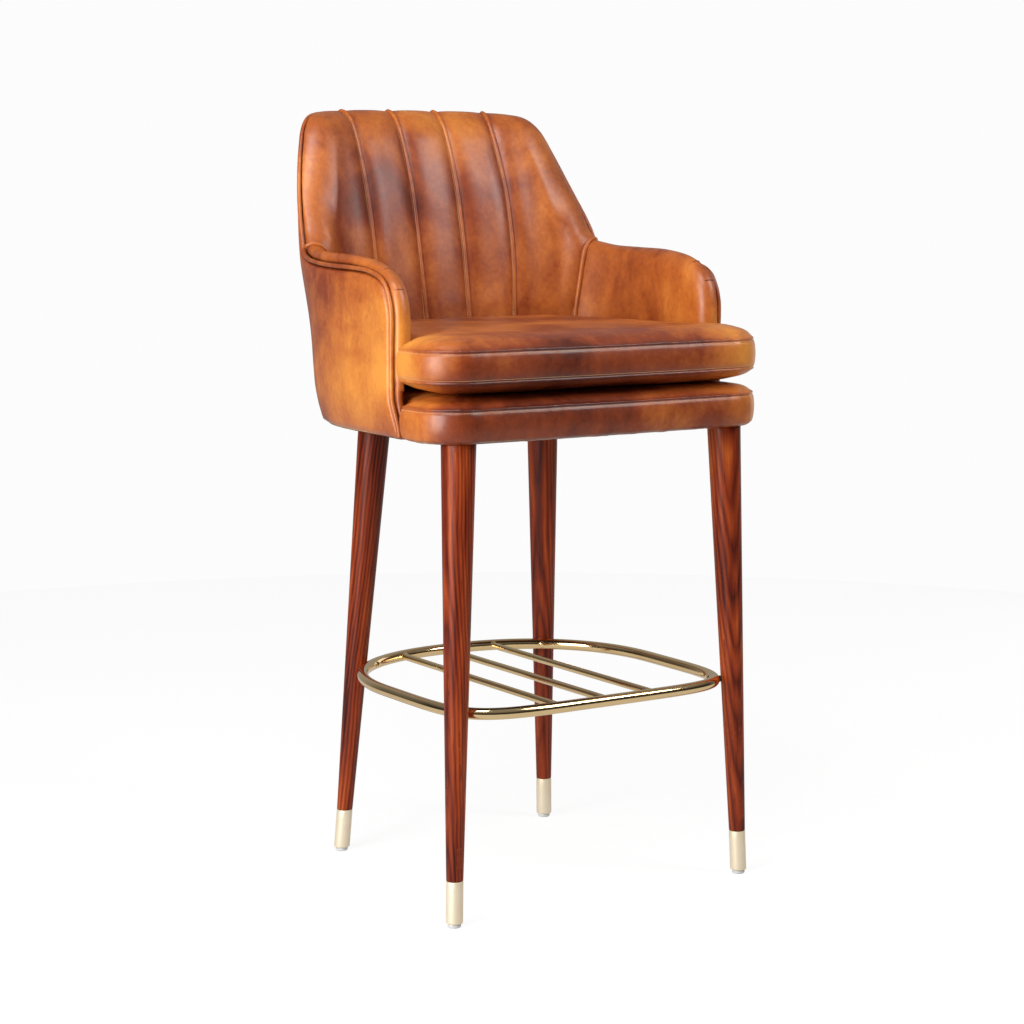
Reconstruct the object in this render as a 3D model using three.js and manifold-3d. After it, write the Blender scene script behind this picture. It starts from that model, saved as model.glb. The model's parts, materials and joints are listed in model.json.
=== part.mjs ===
// Upholstered tub bar stool: a leather covered shell with a channelled back and low arms, a loose
// cushion on a padded base, four raked round legs with metal ferrules and a tubular ring footrest.
// Millimetres, +Z up, floor at z = 0. The sitter faces -Y. Names say left and right as seen by
// someone who stands in front of the stool, so the pieces on +X are the right ones.

import * as THREE from 'three';
import { LoftGeometry } from 'three/addons/geometries/LoftGeometry.js';
import { mergeVertices } from 'three/addons/utils/BufferGeometryUtils.js';
import Module from 'manifold-3d';

const wasm = await Module();
wasm.setup();

// ---------------------------------------------------------------- driving dimensions

const GAP = 0.3;                 // air between pieces that touch
const UNDERSIDE = 639;           // underside of the seat base above the floor
const CENTRE_Y = 51.7;           // middle of the whole depth, measured from the middle of the legs

// Legs: axis at the floor and at the underside of the seat base
const FRONT_LEG = { footX: 237, footY: -192, topX: 216.5, topY: -172.8 };
const BACK_LEG = { footX: 178.7, footY: 219.5, topX: 143.3, topY: 172.8 };
const LEG_TOP_RADIUS = 23.3;
const LEG_SIDES = 24;
const FERRULE = { bottom: 6, top: 62.7, radius: 11.5, wall: 1, floor: 2, hole: 4, lip: 0.7 };
const TENON_RADIUS = 10.2;
const GLIDE = { radius: 9, height: 5.5, studRadius: 3, studTop: 24 };
const INSERT = { bottom: 8.6, top: 30, radius: 5.4, hole: 3.3 };
const BOLT = { radius: 4, bottom: 589, top: 660 };
const TEE_NUT = { barrelRadius: 5.6, barrelBottom: 646, flangeRadius: 11, flangeHeight: 1.5 };

// Footrest ring: a rounded loop, squarer in front than behind, and its cross bars
const RING = { height: 281, halfWidth: 222.6, centreY: 6.5, halfDepth: 215.5, tubeRadius: 8,
  boreRadius: 6.6, frontSquareness: 5.45, backSquareness: 2.22 };
const BAR = { radius: 5, spacing: 78 };
const RING_SCREW = { radius: 2.2, headRadius: 4.6, headHeight: 2.4, depthInLeg: 21 };
const SPACER_RADIUS = 4.5;
const SPACER_ROOM = 40;          // half the height of leg that the spacers are cut to
const RING_SIDES = 10;
const RING_BORE_SIDES = 6;
const RING_STEPS = 56;

// Shell: the plan of its outer face is a superellipse that grows deeper with height
const SHELL = { squareness: 4.6, halfWidth: 271, lowHalfWidth: 266, lowTaper: 0.045, taperFromZ: 740,
  taperToZ: 890, frontY: -86, lowFrontY: -98, backLowY: 228, backHighY: 302, lowZ: 640, armZ: 700,
  highZ: 1070 };
const BOW = { reach: 17, bearings: [44, 78], heights: [930, 1070] };    // the back's middle bows out
const COVER = { bottom: 639.5, thickness: 5 };
const FRAME = { outer: 6.3, inner: 17.3, bottom: 641, belowEdge: 10, frontBearing: 0.6 };
const PAD = { bottom: 703, outer: 7, armDepth: 34, seatDepth: 48, topDepth: 30, roll: 18, bulge: 5,
  hidden: 3, seatZ: 780, topZ: 1060 };
const ARM_TO_BACK = [30, 46];    // bearings between which the thin arm pad becomes the back pad
const WELT = { radius: 3, depth: 2.6, above: 4.75 };
const PIPING_RADIUS = 2.4;

// Edge of the outer cover as bearing (degrees round the shell from the arm front) and height
const EDGE = [[0, 806], [1.3, 828], [3.3, 843], [8.3, 853], [16, 856.5], [24, 857.5], [31, 860],
  [36.5, 865], [39.8, 874], [41.4, 900], [42.8, 921], [44.6, 945], [47, 978], [49.6, 1014],
  [52.2, 1044], [54.6, 1057], [59, 1063.5], [65, 1066], [73, 1067.5], [81, 1068.5], [90, 1069]];
// Top of the arm lining in the same terms, from its front, just ahead of the cover, to the back
const ARM_CROWN = [[-2.1, 796], [-1.7, 815], [-0.8, 832], [0.8, 846], [3.5, 858], [8, 869],
  [16, 876.5], [26, 878.5], [33, 880.5], [38.5, 886]];
const BACK_CROWN = 7.5;          // how far the back lining stands above the cover edge
const SEAM_BEARINGS = [65.5, 81.9];   // channel seams of the back, outer and inner
const ARM_TOP = { length: 175, inward: 9, rollZ: [850, 886] };   // where the arm rolls over
const ARM_SEAM = [[44, 703], [42.8, 779], [42, 815], [41.2, 845], [40.3, 868], [39.4, 886]];

// Seat base and cushion: a T in plan, full width in front of the arms and narrow between them
const SEAT = { frontY: -216, bow: 4, cornerRadius: 62, shoulderRadius: 7, shoulderInset: 14 };
const BASE = { halfWidth: 271, shoulderY: -108, bottom: 639.3, seam: 686, crown: 698 };
const BOARD = { bottom: 642.3, top: 661, inset: 6 };
const DUST = { bottom: 639.3, top: 641, inset: 16 };
const CUSHION = { halfWidth: 272, shoulderY: -102, bottom: 698.5, lowSeam: 717, topSeam: 759,
  crown: 778 };
const NECK_CLEARANCE = 3;        // between the cushion and the lining, so it lifts out
const SHELL_SCREW = { height: 651, radius: 2.4, headRadius: 4.6, headDepth: 7.2, tip: 58 };
const SCREW_BEARINGS = [24, 70];

// ---------------------------------------------------------------- finishes

const finish = (color, roughness, metalness) =>
  new THREE.MeshStandardMaterial({ color, roughness, metalness });
const leather = () => finish(0xb5632b, 0.42, 0);
const piping = () => finish(0x9c4f22, 0.45, 0);
const rosewood = () => finish(0x8a3318, 0.35, 0);
const brass = () => finish(0xd9b56a, 0.12, 1);
const satinBrass = () => finish(0xe4cf9f, 0.3, 1);
const zinc = () => finish(0xb9bcc0, 0.35, 1);
const nylon = () => finish(0xd8d8d4, 0.5, 0);
const plywood = () => finish(0xc9a878, 0.7, 0);
const lining = () => finish(0x1b1b1c, 0.95, 0);
const fibre = () => finish(0x2a2522, 0.8, 0);

// ---------------------------------------------------------------- solids and booleans

const radians = THREE.MathUtils.degToRad;
const lerp = THREE.MathUtils.lerp;
const smooth = THREE.MathUtils.smoothstep;

// A closed geometry as a solid: shared corners merged, flat triangles dropped, and the faces of a
// loft that runs the other way round turned outwards.
function toSolid(geometry) {
  const bare = new THREE.BufferGeometry();
  bare.setAttribute('position', geometry.getAttribute('position'));
  bare.setIndex(geometry.index);
  const merged = mergeVertices(bare, 1e-3);
  const corners = merged.index.array;
  const kept = [];
  for (let i = 0; i < corners.length; i += 3) {
    const [a, b, c] = corners.slice(i, i + 3);
    if (a !== b && b !== c && c !== a) kept.push(a, b, c);
  }
  const build = (triangles) => new wasm.Manifold(new wasm.Mesh({
    numProp: 3,
    vertProperties: new Float32Array(merged.attributes.position.array),
    triVerts: new Uint32Array(triangles),
  }));
  const solid = build(kept);
  return solid.volume() > 0 ? solid : build(kept.reverse());
}

function toGeometry(solid) {
  const mesh = solid.getMesh();
  const geometry = new THREE.BufferGeometry();
  geometry.setAttribute('position', new THREE.BufferAttribute(mesh.vertProperties, 3));
  geometry.setIndex(new THREE.BufferAttribute(mesh.triVerts, 1));
  geometry.computeVertexNormals();
  return geometry;
}

const cut = (geometry, ...cutters) =>
  toGeometry(cutters.reduce((left, tool) => left.subtract(toSolid(tool)), toSolid(geometry)));

// The largest body of a solid, without the slivers that a cut may leave
const largest = (solid) => solid.decompose().sort((a, b) => b.volume() - a.volume())[0];

const capped = (sections) => new LoftGeometry(sections, { capStart: true, capEnd: true });
const looped = (sections) => new LoftGeometry([...sections, sections[0]]);

// ---------------------------------------------------------------- legs and their fittings

const stool = new THREE.Group();
stool.position.y = -CENTRE_Y;

function add(name, geometry, material) {
  const mesh = new THREE.Mesh(geometry, material);
  mesh.name = name;
  stool.add(mesh);
}

// A turned piece on a leg axis: level circles of the profile's [height, radius] pairs
function turned(axisAt, profile, sides = 20, wrap = false) {
  const sections = profile.map(([z, radius]) => {
    const centre = axisAt(z);
    return Array.from({ length: sides }, (_, i) => {
      const angle = (2 * Math.PI * i) / sides;
      return new THREE.Vector3(centre.x + radius * Math.cos(angle),
        centre.y + radius * Math.sin(angle), z);
    });
  });
  return wrap ? looped(sections) : capped(sections);
}

// A straight round rod from one point to another, with its own [distance, radius] profile
function rod(from, to, profile, sides = 12) {
  const along = to.clone().sub(from).normalize();
  const side = new THREE.Vector3(0, 0, 1).cross(along).normalize();
  const up = along.clone().cross(side);
  return capped(profile.map(([distance, radius]) =>
    Array.from({ length: sides }, (_, i) => {
      const angle = (2 * Math.PI * i) / sides;
      return from.clone().addScaledVector(along, distance)
        .addScaledVector(side, radius * Math.cos(angle))
        .addScaledVector(up, radius * Math.sin(angle));
    })));
}

const legAxis = (leg, side) => (z) => new THREE.Vector3(
  side * lerp(leg.footX, leg.topX, z / UNDERSIDE),
  lerp(leg.footY, leg.topY, z / UNDERSIDE), z);

const legRadius = (z) => lerp(FERRULE.radius - 0.1, LEG_TOP_RADIUS,
  (z - FERRULE.top) / (UNDERSIDE - FERRULE.top));

// Point of the ring's centreline at an angle, which is 0 on +X and a quarter turn at the back
function ringPoint(angle) {
  const c = Math.cos(angle);
  const s = Math.sin(angle);
  const n = s < 0 ? RING.frontSquareness : RING.backSquareness;
  const r = (Math.abs(c) ** n + Math.abs(s) ** n) ** (-1 / n);
  return new THREE.Vector3(RING.halfWidth * r * c, RING.centreY + RING.halfDepth * r * s,
    RING.height);
}

// Bearings of the ring's sections, closer together where the ring turns more sharply
function ringBearings(steps) {
  const fine = 1440;
  const turnWeight = 90;
  const points = Array.from({ length: fine + 2 }, (_, i) => ringPoint((2 * Math.PI * i) / fine));
  const reach = [0];
  for (let i = 0; i < fine; i += 1) {
    const step = points[i + 1].clone().sub(points[i]);
    const next = points[i + 2].clone().sub(points[i + 1]);
    reach.push(reach[i] + step.length() + turnWeight * step.angleTo(next));
  }
  return Array.from({ length: steps }, (_, k) => {
    const wanted = (reach[fine] * k) / steps;
    return (2 * Math.PI * reach.findIndex((value) => value >= wanted)) / fine;
  });
}

function ringTube(radius, sides, steps) {
  const up = new THREE.Vector3(0, 0, 1);
  return looped(ringBearings(steps).map((angle) => {
    const centre = ringPoint(angle);
    const inward = up.clone().cross(ringPoint(angle + 0.001).sub(ringPoint(angle - 0.001)))
      .normalize();
    return Array.from({ length: sides }, (_, j) => {
      const turn = (2 * Math.PI * (j + 0.5)) / sides;
      return centre.clone().addScaledVector(inward, radius * Math.cos(turn))
        .addScaledVector(up, radius * Math.sin(turn));
    });
  }));
}

// The point of the ring nearest to a leg axis
function ringNear(point) {
  const steps = 1440;
  let best = ringPoint(0);
  for (let i = 1; i < steps; i += 1) {
    const candidate = ringPoint((2 * Math.PI * i) / steps);
    if (candidate.distanceTo(point) < best.distanceTo(point)) best = candidate;
  }
  return best;
}

const ringEnvelope = ringTube(RING.tubeRadius + GAP, RING_SIDES, RING_STEPS);
const screwHoles = [];
const boltHoles = [];
const teeNutHoles = [];

function addLeg(place, leg, side) {
  const axisAt = legAxis(leg, side);
  const shoulder = FERRULE.top + GAP;
  const tenonBottom = FERRULE.bottom + FERRULE.floor + GAP;
  const legBody = turned(axisAt, [[tenonBottom, TENON_RADIUS], [shoulder, TENON_RADIUS],
    [shoulder, legRadius(shoulder)], [UNDERSIDE, LEG_TOP_RADIUS]], LEG_SIDES);

  const at = axisAt(RING.height);
  const ringSide = ringNear(at);
  const toLeg = at.clone().sub(ringSide).normalize();
  const headSeat = ringSide.clone().addScaledVector(toLeg, -RING.tubeRadius);
  const length = headSeat.distanceTo(at);
  const shankFrom = RING_SCREW.headHeight * 2;
  const start = headSeat.clone().addScaledVector(toLeg, -shankFrom);
  const reach = shankFrom + length - legRadius(RING.height) + RING_SCREW.depthInLeg;
  const hole = rod(start, at, [[0, RING_SCREW.radius + GAP], [reach + 1,
    RING_SCREW.radius + GAP]], 8);
  screwHoles.push(hole);

  const headFrom = shankFrom - RING_SCREW.headHeight - GAP;
  add(`footrest_screw_${place}`, rod(start, at, [
    [headFrom, RING_SCREW.headRadius * 0.5], [headFrom + 1, RING_SCREW.headRadius * 0.9],
    [headFrom + RING_SCREW.headHeight, RING_SCREW.headRadius],
    [headFrom + RING_SCREW.headHeight, RING_SCREW.radius], [reach, RING_SCREW.radius]]), zinc());
  const around = [RING.height - SPACER_ROOM, RING.height + SPACER_ROOM];
  const legAround = turned(axisAt, around.map((z) => [z, legRadius(z) + GAP]), LEG_SIDES);
  add(`footrest_spacer_${place}`, cut(rod(ringSide, at, [[0, SPACER_RADIUS],
    [ringSide.distanceTo(at), SPACER_RADIUS]], 10), ringEnvelope, legAround, hole), fibre());

  const boltHole = turned(axisAt, [[BOLT.bottom - 1, BOLT.radius + GAP],
    [BOLT.top + 8, BOLT.radius + GAP]], 10);
  boltHoles.push(boltHole);
  const insertHole = turned(axisAt, [[tenonBottom - 2, INSERT.radius + GAP],
    [INSERT.top + GAP, INSERT.radius + GAP], [INSERT.top + 6, GLIDE.studRadius + GAP]], 10);
  add(`leg_${place}`, cut(legBody, boltHole, insertHole, hole), rosewood());
  add(`leg_bolt_${place}`, turned(axisAt, [[BOLT.bottom, BOLT.radius], [BOLT.top, BOLT.radius]],
    10), zinc());

  const flangeBottom = BOARD.top + GAP;
  const flangeTop = flangeBottom + TEE_NUT.flangeHeight;
  const bore = BOLT.radius + GAP;
  add(`leg_tee_nut_${place}`, turned(axisAt, [[TEE_NUT.barrelBottom, bore],
    [TEE_NUT.barrelBottom, TEE_NUT.barrelRadius], [flangeBottom, TEE_NUT.barrelRadius],
    [flangeBottom, TEE_NUT.flangeRadius], [flangeTop, TEE_NUT.flangeRadius],
    [flangeTop, bore]], 12, true), zinc());
  teeNutHoles.push(turned(axisAt, [[TEE_NUT.barrelBottom - GAP, TEE_NUT.barrelRadius + GAP],
    [flangeBottom - GAP / 2, TEE_NUT.barrelRadius + GAP],
    [flangeBottom - GAP / 2, TEE_NUT.flangeRadius + GAP],
    [flangeTop + GAP, TEE_NUT.flangeRadius + GAP]], 12));

  const cupFloor = FERRULE.bottom + FERRULE.floor;
  const cupInside = FERRULE.radius - FERRULE.wall;
  add(`ferrule_${place}`, turned(axisAt, [[FERRULE.bottom, FERRULE.hole],
    [FERRULE.bottom, FERRULE.radius - FERRULE.lip],
    [FERRULE.bottom + FERRULE.lip, FERRULE.radius], [FERRULE.top, FERRULE.radius],
    [FERRULE.top, cupInside], [cupFloor, cupInside], [cupFloor, FERRULE.hole]], 16, true),
  satinBrass());
  add(`glide_insert_${place}`, turned(axisAt, [[INSERT.bottom, INSERT.hole],
    [INSERT.bottom, INSERT.radius], [INSERT.top, INSERT.radius], [INSERT.top, INSERT.hole]],
  10, true), zinc());
  add(`glide_${place}`, turned(axisAt, [[0, GLIDE.radius - 0.8], [0.8, GLIDE.radius],
    [GLIDE.height - 0.5, GLIDE.radius], [GLIDE.height, GLIDE.radius - 0.5],
    [GLIDE.height, GLIDE.studRadius], [GLIDE.studTop, GLIDE.studRadius]], 16), nylon());
}

for (const [across, side] of [['right', 1], ['left', -1]]) {
  addLeg(`front_${across}`, FRONT_LEG, side);
  addLeg(`back_${across}`, BACK_LEG, side);
}

// ---------------------------------------------------------------- footrest

add('footrest_ring', cut(ringTube(RING.tubeRadius, RING_SIDES, RING_STEPS),
  ringTube(RING.boreRadius, RING_BORE_SIDES, RING_STEPS), ...screwHoles), brass());

for (const [name, place] of [['left', -1], ['middle', 0], ['right', 1]]) {
  const front = new THREE.Vector3(place * BAR.spacing, RING.centreY - RING.halfDepth,
    RING.height);
  const back = new THREE.Vector3(place * BAR.spacing, RING.centreY + RING.halfDepth, RING.height);
  const span = front.distanceTo(back);
  const bar = rod(front, back, [[0, BAR.radius], [span, BAR.radius]], 12);
  add(`footrest_bar_${name}`, toGeometry(largest(toSolid(bar).subtract(toSolid(ringEnvelope)))),
    brass());
}

// ---------------------------------------------------------------- shell surfaces

// Outer face of the shell in plan. The bearing runs from 0 at the right arm's front, through 90
// at the middle of the back, to 180 at the left arm's front. Below 0 and above 180 it runs
// straight on ahead of the arms.
function plan(bearing, z) {
  if (bearing > 90) {
    const mirrored = plan(180 - bearing, z);
    return new THREE.Vector2(-mirrored.x, mirrored.y);
  }
  const rise = (z - SHELL.lowZ) / (SHELL.highZ - SHELL.lowZ);
  const low = smooth(z, SHELL.lowZ, SHELL.armZ);
  const halfWidth = lerp(SHELL.lowHalfWidth, SHELL.halfWidth, low);
  const frontY = lerp(SHELL.lowFrontY, SHELL.frontY, low);
  const depth = lerp(SHELL.backLowY, SHELL.backHighY, rise) - frontY;
  const angle = radians(bearing);
  const n = SHELL.squareness;
  const r = bearing < 0 ? 1 / Math.cos(angle)
    : (Math.cos(angle) ** n + Math.sin(angle) ** n) ** (-1 / n);
  const back = r * Math.sin(angle);
  const taper = SHELL.lowTaper * (1 - smooth(z, SHELL.taperFromZ, SHELL.taperToZ));
  const up = THREE.MathUtils.clamp((z - BOW.heights[0]) / (BOW.heights[1] - BOW.heights[0]), 0, 1);
  const bow = BOW.reach * smooth(bearing, ...BOW.bearings) * up ** 2;
  return new THREE.Vector2(halfWidth * r * Math.cos(angle) * (1 - taper * back),
    frontY + depth * back + bow);
}

// A point at a depth inside the outer face
function shellPoint(bearing, z, depth) {
  const at = plan(bearing, z);
  const along = plan(bearing + 0.2, z).sub(plan(bearing - 0.2, z)).normalize();
  return new THREE.Vector3(at.x - along.y * depth, at.y + along.x * depth, z);
}

const fold = (bearing) => (bearing > 90 ? 180 - bearing : bearing);

function edgeHeight(bearing) {
  const b = Math.max(fold(bearing), 0);
  const i = Math.min(EDGE.findIndex(([at]) => at >= b) || 1, EDGE.length - 1);
  const [[b0, z0], [b1, z1]] = [EDGE[i - 1], EDGE[i]];
  return lerp(z0, z1, (b - b0) / (b1 - b0));
}

// Depth of the inner face of the upholstery: thin at the arms, thicker behind the sitter
function liningDepth(bearing, z) {
  const back = lerp(PAD.seatDepth, PAD.topDepth, (z - PAD.seatZ) / (PAD.topZ - PAD.seatZ));
  return lerp(PAD.armDepth, back, smooth(fold(bearing), ...ARM_TO_BACK));
}

// A curved slab: columns of rows { bearing, z, inner, outer } from one end to the other. The ring
// before the first column and after the last lies flat on the outer face, which closes the ends.
function slab(columns) {
  const outerOf = (rows) => rows.map((row) => shellPoint(row.bearing, row.z, row.outer));
  const innerOf = (rows) => rows.map((row) => shellPoint(row.bearing, row.z, row.inner));
  const ring = (rows) => [...outerOf(rows), ...innerOf(rows).reverse()];
  const flat = (rows) => [...outerOf(rows), ...outerOf(rows).reverse()];
  const sections = [flat(columns[0]), ...columns.map(ring), flat(columns.at(-1))];
  return toGeometry(toSolid(new LoftGeometry(sections)));
}

// Millimetres along the outer face for one degree of bearing
const perDegree = (bearing, z) => plan(bearing + 0.5, z).distanceTo(plan(bearing - 0.5, z));

const halfBearings = EDGE.map(([bearing]) => bearing);
const allBearings = [...halfBearings, ...halfBearings.slice(0, -1).reverse().map((b) => 180 - b)];

function wall(bearings, bottom, topOf, outer, inner, shares) {
  return slab(bearings.map((bearing) => shares.map((share) => ({
    bearing, z: lerp(bottom, topOf(bearing), share), outer, inner }))));
}

const WALL_ROWS = [0, 0.12, 0.35, 0.66, 0.78, 0.89, 1];
const frameBearings = allBearings.map((b) => THREE.MathUtils.clamp(b, FRAME.frontBearing,
  180 - FRAME.frontBearing));

// The curved plywood frame, grown all round by a clearance where it serves as a cutter
function frameBody(grow) {
  const endTurn = grow / perDegree(FRAME.frontBearing, SHELL.armZ);
  const bearings = [...frameBearings];
  bearings[0] -= endTurn;
  bearings[bearings.length - 1] += endTurn;
  return wall(bearings, FRAME.bottom - grow, (b) => edgeHeight(b) - FRAME.belowEdge + grow,
    FRAME.outer - grow, FRAME.inner + grow, WALL_ROWS);
}

// Screws that tie the shell frame to the seat board
const shellScrewHoles = [];
for (const [name, bearing] of [['front_right', SCREW_BEARINGS[0]],
  ['back_right', SCREW_BEARINGS[1]], ['back_left', 180 - SCREW_BEARINGS[1]],
  ['front_left', 180 - SCREW_BEARINGS[0]]]) {
  const head = shellPoint(bearing, SHELL_SCREW.height, SHELL_SCREW.headDepth);
  const tip = shellPoint(bearing, SHELL_SCREW.height, SHELL_SCREW.tip);
  const length = head.distanceTo(tip);
  add(`shell_screw_${name}`, rod(head, tip, [[0, SHELL_SCREW.headRadius],
    [3, SHELL_SCREW.radius], [length - 5, SHELL_SCREW.radius], [length, 0.6]], 8), zinc());
  shellScrewHoles.push(rod(head, tip, [[-1, SHELL_SCREW.headRadius + GAP],
    [0, SHELL_SCREW.headRadius + GAP], [3 + GAP, SHELL_SCREW.radius + GAP],
    [length + 1, SHELL_SCREW.radius + GAP]], 8));
}

add('shell_outer_cover', wall(allBearings, COVER.bottom, edgeHeight, 0, COVER.thickness,
  WALL_ROWS), leather());
add('shell_frame', cut(frameBody(0), ...shellScrewHoles), plywood());

// The cover edge moved outwards, square to itself, from the arm front to the middle of the back
function edgeLine(distance) {
  const start = [EDGE[0][0], EDGE[0][1] - distance];
  const end = [180 - EDGE.at(-2)[0], EDGE.at(-2)[1]];
  const line = [start, ...EDGE, end];
  return EDGE.map(([bearing, z], i) => {
    const scale = perDegree(bearing, z);
    const direction = ([b0, z0], [b1, z1]) =>
      new THREE.Vector2((b1 - b0) * scale, z1 - z0).normalize();
    const heading = direction(line[i], line[i + 1]).add(direction(line[i + 1], line[i + 2]))
      .normalize();
    return [bearing - (heading.y * distance) / scale, z + heading.x * distance];
  });
}

// Welt: a piped edge that runs up the right arm's front, round the cover edge and down again
const FRONT_WELT_HEIGHTS = [UNDERSIDE + 4, 680, 720, 770];
const weltOver = edgeLine(WELT.above);
const weltRise = FRONT_WELT_HEIGHTS.map((z) => [weltOver[0][0], z]);
const weltHalf = [...weltRise, ...weltOver].map(([b, z]) => shellPoint(b, z, WELT.depth));
const acrossX = (point) => new THREE.Vector3(-point.x, point.y, point.z);
const weltPath = new THREE.CatmullRomCurve3(
  [...weltHalf, ...weltHalf.slice(0, -1).reverse().map(acrossX)], false, 'centripetal');

function tube(path, radius, steps, sides = 8) {
  const circle = new THREE.Shape();
  for (let i = 0; i < sides; i += 1) {
    const angle = (2 * Math.PI * i) / sides;
    const [x, y] = [radius * Math.cos(angle), radius * Math.sin(angle)];
    if (i === 0) circle.moveTo(x, y);
    else circle.lineTo(x, y);
  }
  circle.closePath();
  return new THREE.ExtrudeGeometry(circle, { steps, extrudePath: path, bevelEnabled: false });
}

add('edge_welt', tube(weltPath, WELT.radius, 88, 7), piping());

// ---------------------------------------------------------------- upholstery of the shell

// Thickness of a pad near its free edge, where it rolls over: distance is from that edge
function rolled(distance, depth) {
  const inside = THREE.MathUtils.clamp(1 - distance / PAD.roll, 0, 1);
  const round = 1 - Math.sqrt(1 - inside * inside);
  const outer = PAD.outer + (inside > 0 ? 0 : PAD.hidden);
  const thick = depth - PAD.outer;
  return { inner: depth - 0.5 * thick * round, outer: outer + 0.3 * thick * round };
}

const ROLL_DISTANCES = [PAD.roll, 9, 4, 1, 0];

// The part of a path of [bearing, height] pairs at a share of its length in height order
function along(path, share) {
  const spans = path.slice(1).map(([b, z], i) => Math.hypot((b - path[i][0]) * 5, z - path[i][1]));
  const total = spans.reduce((sum, span) => sum + span, 0);
  let left = share * total;
  let i = 0;
  while (i < spans.length - 1 && left > spans[i]) {
    left -= spans[i];
    i += 1;
  }
  const t = Math.min(left / spans[i], 1);
  return [lerp(path[i][0], path[i + 1][0], t), lerp(path[i][1], path[i + 1][1], t)];
}

const crownOf = (bearing) => edgeHeight(bearing) + BACK_CROWN;
const SEAM_HALF_GAP = 0.75;      // degrees of bearing left free for the piping on each side
const ARM_SEAM_HALF_GAP = 1.15;
const CHANNEL = { length: 330, width: 90, wingZ: [870, 900] };

// One upholstered channel of the back between two paths. freeRight says that the second path is
// the free wing of the shell above the arm, where the channel rolls over as it does at the top.
function backPanel(leftEdge, rightEdge, freeRight) {
  const columnsAt = freeRight ? [0, 0.2, 0.4, 0.6, 0.8, 0.93, 1] : [0, 0.17, 0.5, 0.83, 1];
  const rows = [0, 0.13, 0.26, 0.4, 0.55, 0.68, 0.8, 0.9,
    ...ROLL_DISTANCES.map((distance) => 1 - distance / CHANNEL.length)];
  return slab(columnsAt.map((across) => rows.map((share) => {
    const [b0, z0] = along(leftEdge, share);
    const [b1, z1] = along(rightEdge, share);
    const bearing = lerp(b0, b1, across);
    const z = lerp(z0, z1, across);
    const fromTop = (1 - share) * CHANNEL.length;
    const wing = freeRight ? smooth(z1, ...CHANNEL.wingZ) : 0;
    const fromWing = lerp(PAD.roll, Math.min((1 - across) * CHANNEL.width, PAD.roll), wing);
    const face = liningDepth(bearing, z) + PAD.bulge * Math.sin(Math.PI * across);
    return { bearing, z, ...rolled(Math.min(fromTop, fromWing), face) };
  })));
}

const frameRoom = toSolid(frameBody(GAP));
const clearOfFrame = (pad) => toGeometry(largest(toSolid(pad).subtract(frameRoom)));
const seamPath = (bearing) => [[bearing, PAD.bottom], [bearing, crownOf(bearing)]];
const wingPath = [...ARM_SEAM.map(([b, z]) => [b + ARM_SEAM_HALF_GAP, z]),
  ...edgeLine(BACK_CROWN).filter(([b, z]) => z > 895 && b < 56), [58, crownOf(58)]];
const mirrorPath = (path) => path.map(([b, z]) => [180 - b, z]);

const [outerSeam, innerSeam] = SEAM_BEARINGS;
const panels = [
  ['right_outer', seamPath(outerSeam - SEAM_HALF_GAP), wingPath, true],
  ['right_inner', seamPath(innerSeam - SEAM_HALF_GAP), seamPath(outerSeam + SEAM_HALF_GAP), false],
  ['middle', seamPath(180 - innerSeam - SEAM_HALF_GAP), seamPath(innerSeam + SEAM_HALF_GAP), false],
  ['left_inner', seamPath(180 - outerSeam - SEAM_HALF_GAP),
    seamPath(180 - innerSeam + SEAM_HALF_GAP), false],
  ['left_outer', seamPath(180 - outerSeam + SEAM_HALF_GAP), mirrorPath(wingPath), true],
];
for (const [name, leftEdge, rightEdge, freeRight] of panels) {
  add(`back_channel_${name}`, clearOfFrame(backPanel(leftEdge, rightEdge, freeRight)), leather());
}

function padPiping(path, depthOf) {
  const points = path.map(([b, z]) => shellPoint(b, z, depthOf(b, z)));
  return tube(new THREE.CatmullRomCurve3(points, false, 'centripetal'), PIPING_RADIUS, 14, 6);
}

const PIPING_HEIGHTS = [PAD.bottom, 760, 820, 880, 940, 1000, 1054];
const seamDepth = (b, z) => liningDepth(b, z) - 1;
for (const [name, bearing] of [['outer_right', outerSeam], ['inner_right', innerSeam],
  ['inner_left', 180 - innerSeam], ['outer_left', 180 - outerSeam]]) {
  const climb = PIPING_HEIGHTS.map((z) => [bearing, z]);
  add(`back_piping_${name}`, padPiping(climb, seamDepth), piping());
}
for (const [name, path] of [['right', ARM_SEAM], ['left', mirrorPath(ARM_SEAM)]]) {
  const depthOf = (b, z) => seamDepth(b, z) - ARM_TOP.inward * smooth(z, ...ARM_TOP.rollZ);
  add(`arm_piping_${name}`, padPiping(path, depthOf), piping());
}

// Arm lining: inside of the arm, over its top and round its front
function armPad(mirror) {
  const shares = [0, 0.3, 0.6, 0.8, ...ROLL_DISTANCES.map((distance) =>
    1 - distance / ARM_TOP.length)];
  const seamEnd = ARM_SEAM.map(([b, z]) => [b - ARM_SEAM_HALF_GAP, z]);
  const columnAt = ([bearing, top]) => shares.map((share) => {
    const z = lerp(PAD.bottom, top, share);
    const fromFront = (bearing - ARM_CROWN[0][0]) * perDegree(bearing, z);
    const fromTop = (1 - share) * (top - PAD.bottom);
    return { bearing, z, ...rolled(Math.min(fromTop, fromFront), liningDepth(bearing, z)) };
  });
  const lastColumn = shares.map((share) => {
    const [bearing, z] = along(seamEnd, share);
    const fromTop = (1 - share) * (seamEnd.at(-1)[1] - PAD.bottom);
    return { bearing, z, ...rolled(fromTop, liningDepth(bearing, z)) };
  });
  const columns = [...ARM_CROWN.slice(0, -1).map(columnAt), lastColumn];
  const across = (row) => ({ ...row, bearing: 180 - row.bearing });
  return slab(mirror ? columns.map((rows) => rows.map(across)) : columns);
}
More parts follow.
